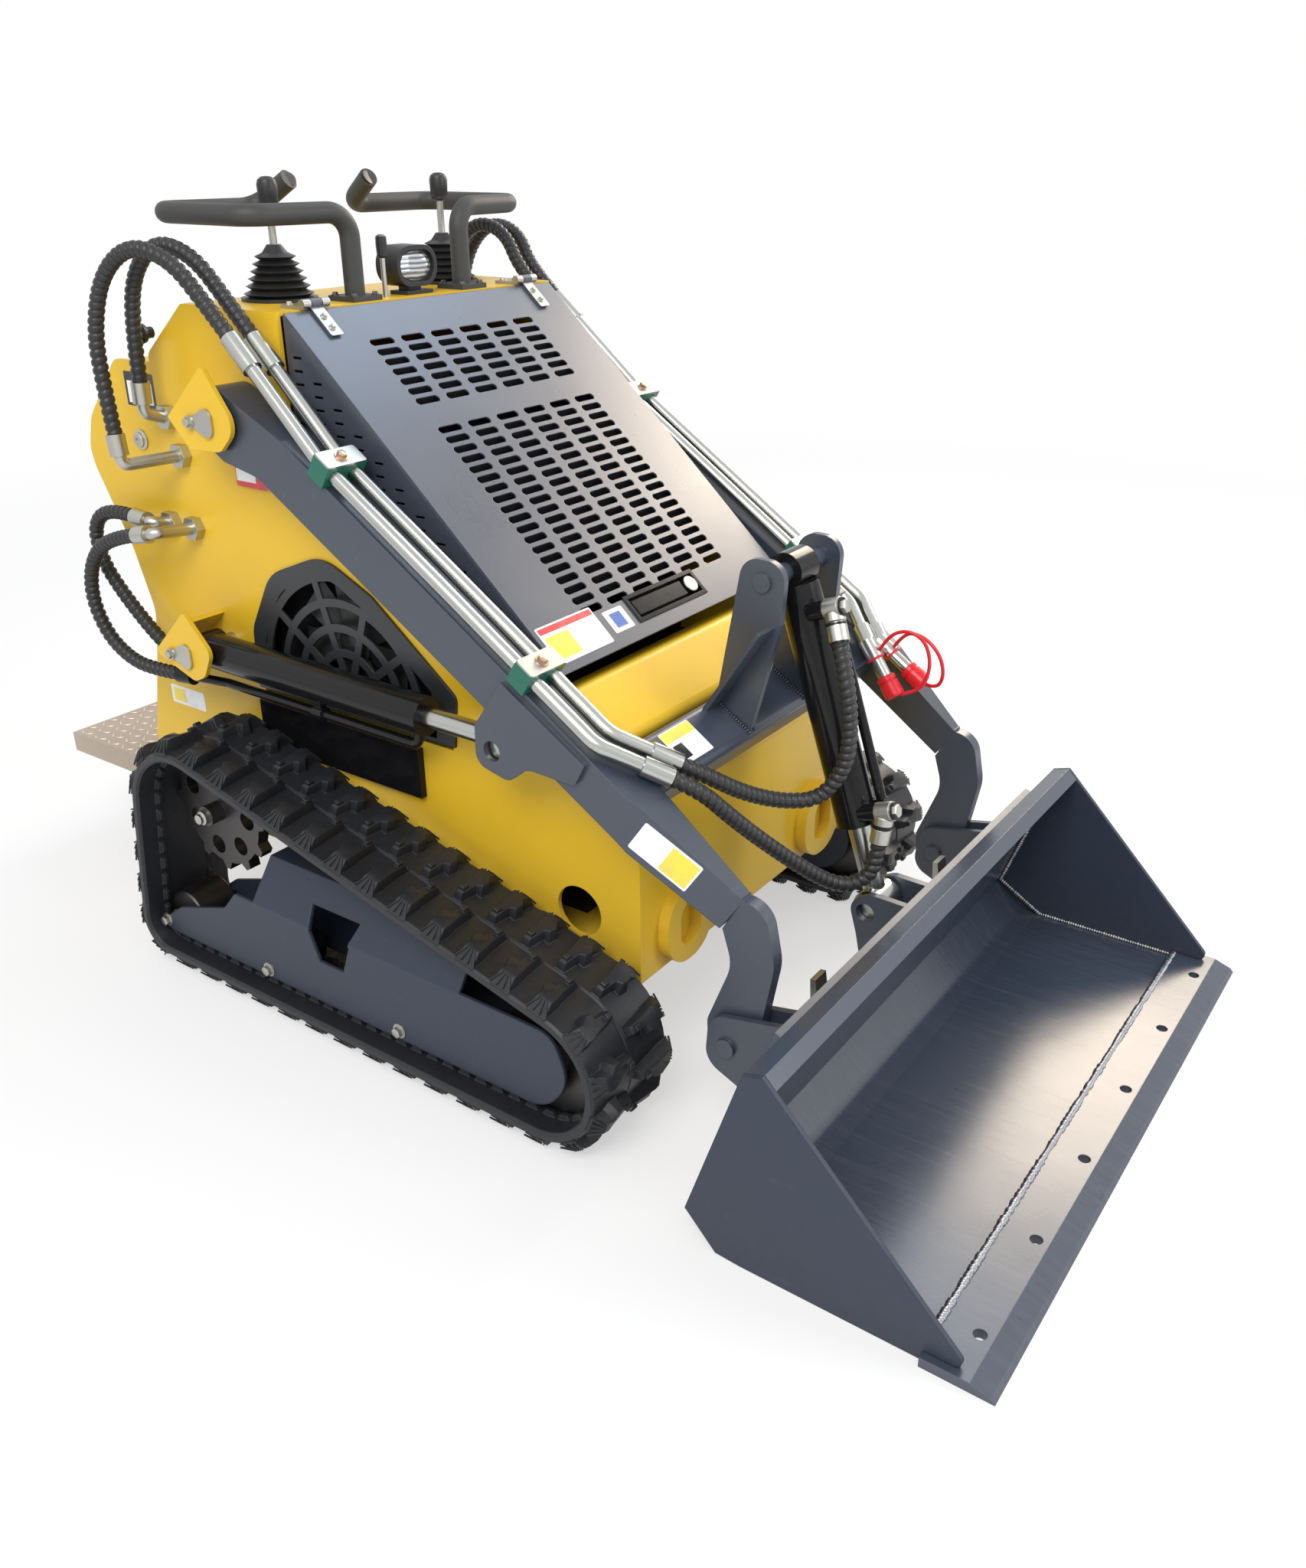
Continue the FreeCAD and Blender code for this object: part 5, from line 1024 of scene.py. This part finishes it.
to_left, to_front, to_right = (0, 1, 0), (1, 0, 0), (0, -1, 0)
tube_top = (0.55, 0, 0.835)
tube_fields = [(0, 19, 72, 18, yellow), (-20, -10, 22, 26, black)]
sticker("sticker_hood_large", facing(on_hood(648, -235, 3), hood_normal, to_left), 128, 66,
        [(0, 25, 122, 10, red), (-32, -6, 52, 40, yellow), (32, -6, 52, 40, white)], "hood")
sticker("sticker_hood_small", facing(on_hood(652, -132, 3), hood_normal, to_left), 48, 40,
        [(0, 0, 26, 26, blue)], "hood")
sticker("sticker_tube", facing(metres((399, -216, 566.7)), tube_top, to_left), 74, 60, tube_fields, "arms")
sticker("sticker_arm", facing(metres((481, -385.6, 478)), (0.254, -0.967, 0), (0.820, 0.2154, -0.572)),
        100, 50, [(-25, 0, 44, 43, white), (24, 0, 46, 43, yellow)], "arms")
sticker("sticker_tube_left", facing(metres((399, 216, 566.7)), tube_top, to_left), 74, 60, tube_fields,
        "arms")
sticker("sticker_chassis", facing(metres((-643, -317, 430)), to_right, to_front), 96, 36,
        [(-24, 0, 34, 26, yellow)], "chassis")
sticker("sticker_plate", facing(metres((-636, -317, 985)), to_right, to_front), 78, 56,
        [(0, -5, 66, 36, white)], "chassis", black)
sticker("sticker_tower", facing(metres((-367, -325, 873)), to_right, to_front), 74, 32,
        [(-12, 3, 46, 20, white)], "chassis", red)
print("stickers ready")

# %% [markdown]
# ## Controls and lamp
# The small parts that a hand touches, the hub nuts, the tilt cylinder's ports and the work
# lamp's lens are turned shapes on the real machine, so here each is a half outline spun
# round an axis. Only the lens is squashed a little afterwards, to fill its oval frame.

# %% Turned small parts
turned_piece("key_switch", [(0, 0), (17, 0), (17, 3), (13, 5), (13, 8), (10, 10), (4, 10), (4, 8), (0, 8)],
             [((-653, -317, 901), to_right)], zinc_steel, "chassis")
turned_piece("black_knob", [(0, 0), (9, 0), (9, 12), (15, 15), (17, 22), (14, 29), (0, 31)],
             [((-580, -317, 1081), to_right)], black_plastic, "chassis")
turned_piece("handle_ends", [(0, -1), (12.5, -1), (12.5, 0.6), (10, 1.1), (0, 0.5)],
             [((-476, side * -88, 1305), (69, -side * 16, 44)) for side in both_sides], dark_steel, "chassis")
turned_piece("hood_lock", [(0, 0), (14.5, 0), (14.5, 1.2), (13, 2.2), (9, 2.2), (8.5, 1.4), (0, 1.4)],
             [(tuple(on_hood(647, 68, 6) * 1000), hood_normal)], zinc_steel, "hood")
turned_piece("hub_nuts", [(0, 0), (13, 0), (13, 9), (9, 11), (9, 16), (0, 17)],
             [((-417, side * 474, 315), (0, side, 0)) for side in both_sides], zinc_steel, "chassis", 12)
elbows = [((526, -20, 741.5), (548, -36, 696)), ((630.3, -16, 435.8), (628, -24, 385))]
tilt_side = (0.9465, 0, 0.3228)
turned_piece("port_banjos", [(0, -14), (13, -14), (15.8, -12), (15.8, 13), (13, 15), (0, 15)],
             [(elbow, tilt_side) for elbow, end in elbows], zinc_steel, "tilt_barrel", 24)
turned_piece("port_ferrules", [(0, 6), (14, 6), (15.8, 8), (15.8, 20), (13.5, 22), (13.5, 26), (15.6, 27),
                               (15.6, 50), (14, 52), (0, 52)],
             [(elbow, Vector(end) - Vector(elbow)) for elbow, end in elbows], zinc_steel, "tilt_barrel", 20)
banjo_bolts = [(tuple(Vector(elbow) + Vector(tilt_side) * 14), tilt_side) for elbow, end in elbows]
bolts("banjo_bolts", banjo_bolts, 11, 9, zinc_steel, "tilt_barrel")
lens = turned([(0, 6), (8, 5.6), (16, 4.6), (24, 3), (31, 0), (31, -2), (0, -2)], 36)
bmesh.ops.scale(lens, vec=(0.74, 1.17, 1), verts=lens.verts)
lamp = bmesh.new()
stamp(lamp, lens, [facing(metres((-298.5, 6, 1174)), (1, 0, 0), (0, 0, 1))])
piece("lamp_lens", lamp, lens_glass, "chassis")
stick_x, stick_y = -409, 190
knob_line = [(0, 0), (8, 0), (12, 3), (14.6, 9), (15.4, 22), (15.8, 34), (13.5, 41), (8, 45), (0, 46)]
turned_piece("joystick_knobs", knob_line,
             [((stick_x, side * stick_y, 1266), (0, 0, 1)) for side in both_sides],
             black_plastic, "chassis", 32)
turned_piece("joystick_stems", [(5, 0), (6, 0.5), (6, 56), (5, 57), (5, 0)],
             [((stick_x, side * stick_y, 1210), (0, 0, 1)) for side in both_sides], zinc_steel,
             "chassis", 20)
turned_piece("throttle_grip", [(0, 0), (6, 0), (8.2, 3), (9, 20), (8.6, 32), (5, 35), (0, 35.5)],
             [((-300, -64, 1190), (0, 0, 1))], black_plastic, "chassis", 24)
print("knobs, nuts, ports and lens ready")

# %% [markdown]
# ## Red caps on the spare couplers
# The left arm ends in two couplers for other tools. Each is closed by a red plastic cap on
# a soft cord. The cords are held at both ends, so they are part of the arms.

# %% Caps and cords
cord_radius = 0.0032
couplers = [((439.4, 289.9, 570.3), (0.62, -0.1, -0.78)), ((448.4, 323.9, 564.4), (0.8365, 0, -0.5477))]


def red_cord(name, route):
    mesh = tube_mesh(smooth_curve(name, route, 10), cord_radius, 3, True)
    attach(tube_piece(name, mesh, red_plastic), "arms")


def along_couplers(reach):
    return [(run_back(spot, heading, reach), heading) for spot, heading in couplers]


cap_line = [(0, 0), (13, 0), (16.5, 2), (16.5, 9), (15, 10), (15, 12), (17, 13), (17.5, 36), (15, 40),
            (0, 41)]
ring_line = [(13, 0), (15, 0), (16, 1.5), (16, 4.5), (15, 6), (13, 6), (13, 0)]
turned_piece("coupler_caps", cap_line, along_couplers(56), red_plastic, "arms")
turned_piece("cap_rings", ring_line, along_couplers(18), red_plastic, "arms")
red_cord("cap_cord_near", [(452, 288, 556), (470, 286, 596), (505, 290, 616), (540, 296, 600),
                           (552, 298, 552), (536, 292, 506), (497, 281, 499)])
red_cord("cap_cord_far", [(462, 324, 556), (486, 318, 598), (524, 312, 604), (560, 310, 578),
                          (570, 314, 538), (554, 320, 508), (525, 323, 514)])
print("caps ready")

# %% [markdown]
# ## Tread bars
# Tread plate has raised lens-shaped bars in two crossed directions. A low ball squashed
# long and thin is one bar, and the plate takes a few hundred, turned by turns.

# %% Bars on the platform
bar_shape = bmesh.new()
bmesh.ops.create_icosphere(bar_shape, subdivisions=1, radius=1)
bmesh.ops.scale(bar_shape, vec=(0.0135, 0.0032, 0.0016), verts=bar_shape.verts)
bar_places = []
rows, columns = 12, 25
row_step, column_step = 0.0228, 0.02467
for row in range(rows):
    for column in range(columns):
        spot = Vector((-1.062 + row * row_step, -0.296 + column * column_step, 0.250))
        turn = math.pi / 4 if (row + column) % 2 else -math.pi / 4
        bar_places.append(Matrix.Translation(spot) @ Matrix.Rotation(turn, 4, "Z"))
bars = bmesh.new()
stamp(bars, bar_shape, bar_places)
piece("tread_bars", bars, bar_steel, "platform", 60)
print("tread bars", len(bar_places))

# %% [markdown]
# ## Floor
# A plain pale floor runs out past the picture. Near the machine it keeps the shadow, and
# further off it turns into the white of the sky, so there is no horizon. That white is
# only what the camera and the shiny parts see, and it adds no light to the paint.

# %% Floor
floor_shape = bmesh.new()
bmesh.ops.create_grid(floor_shape, x_segments=2, y_segments=2, size=40)
floor_finish = Finish("floor")
camera_ray = floor_finish.node("ShaderNodeLightPath", {}, {}, "Is Camera Ray")
glossy_ray = floor_finish.node("ShaderNodeLightPath", {}, {}, "Is Glossy Ray")
clear_ray = floor_finish.node("ShaderNodeLightPath", {}, {}, "Is Transmission Ray")
far = floor_finish.node("ShaderNodeVectorMath", {"operation": "LENGTH"}, {0: floor_finish.place()}, "Value")
away = floor_finish.ramp(far * 0.1, (0.16, 0), (0.5, 1))
plain = floor_finish.node("ShaderNodeBsdfDiffuse", {}, {"Color": (0.82, 0.82, 0.82)})
glow = floor_finish.node("ShaderNodeEmission", {}, {"Color": (1.0, 1.0, 1.0), "Strength": 1.0})
amount = (camera_ray * (away * 0.46 + 0.54) + (glossy_ray + clear_ray) * 0.3).clamped()
seen = floor_finish.node("ShaderNodeMixShader", {}, {0: amount, 1: plain, 2: glow})
floor = piece("floor", floor_shape, floor_finish.surface(seen), None, 0)
print("floor ready")

# %% [markdown]
# ## Sky and lamps
# An even sky and four large soft lamps light the paint at about the level at which a
# colour renders as written. A key lamp stands on the right, a warm one on the left makes
# the glow in the bucket, a small blue one tints the hood, and one in front fills shadows.

# %% Sky and soft lamps
world = bpy.data.worlds.new("studio")
bpy.context.scene.world = world
world.use_nodes = True
sky = world.node_tree.nodes
sky.clear()
sky_path = sky.new("ShaderNodeLightPath")
sky_seen = sky.new("ShaderNodeBackground")
sky_seen.inputs["Color"].default_value = (1, 1, 1, 1)
sky_seen.inputs["Strength"].default_value = 1.0
sky_light = sky.new("ShaderNodeBackground")
sky_light.inputs["Color"].default_value = (0.93, 0.96, 1.0, 1)
sky_light.inputs["Strength"].default_value = 0.78
sky_mix = sky.new("ShaderNodeMixShader")
sky_out = sky.new("ShaderNodeOutputWorld")
glossy_or_clear, any_ray = sky.new("ShaderNodeMath"), sky.new("ShaderNodeMath")
any_ray.use_clamp = True
for start, end in ((sky_path.outputs["Is Glossy Ray"], glossy_or_clear.inputs[0]),
                   (sky_path.outputs["Is Transmission Ray"], glossy_or_clear.inputs[1]),
                   (sky_path.outputs["Is Camera Ray"], any_ray.inputs[0]),
                   (glossy_or_clear.outputs[0], any_ray.inputs[1]), (any_ray.outputs[0], sky_mix.inputs[0]),
                   (sky_light.outputs[0], sky_mix.inputs[1]), (sky_seen.outputs[0], sky_mix.inputs[2]),
                   (sky_mix.outputs[0], sky_out.inputs[0])):
    world.node_tree.links.new(start, end)


def soft_lamp(name, spot, aim, wide, high, watts, tint):
    data = bpy.data.lights.new(name, "AREA")
    data.shape = "RECTANGLE"
    data.size = wide
    data.size_y = high
    data.energy = watts
    data.color = tint
    lamp = bpy.data.objects.new(name, data)
    lamp.location = spot
    lamp.rotation_euler = (Vector(aim) - Vector(spot)).to_track_quat("-Z", "Y").to_euler()
    bpy.context.scene.collection.objects.link(lamp)


soft_lamp("key_lamp", (1.5, -3.6, 4.2), (0, 0, 0.5), 3.0, 2.2, 190, (1.0, 0.97, 0.93))
soft_lamp("rear_lamp", (0.1, 3.4, 2.5), (0.6, 0, 0.3), 1.8, 1.2, 84, (1.0, 0.85, 0.68))
soft_lamp("blue_lamp", (-0.45, 2.3, 4.0), (-0.2, -0.1, 0.9), 1.3, 1.3, 22, (0.60, 0.77, 1.0))
soft_lamp("front_lamp", (4.2, 1.4, 2.6), (0.4, 0, 0.4), 2.0, 2.0, 70, (0.95, 0.97, 1.0))
print("lamps ready")
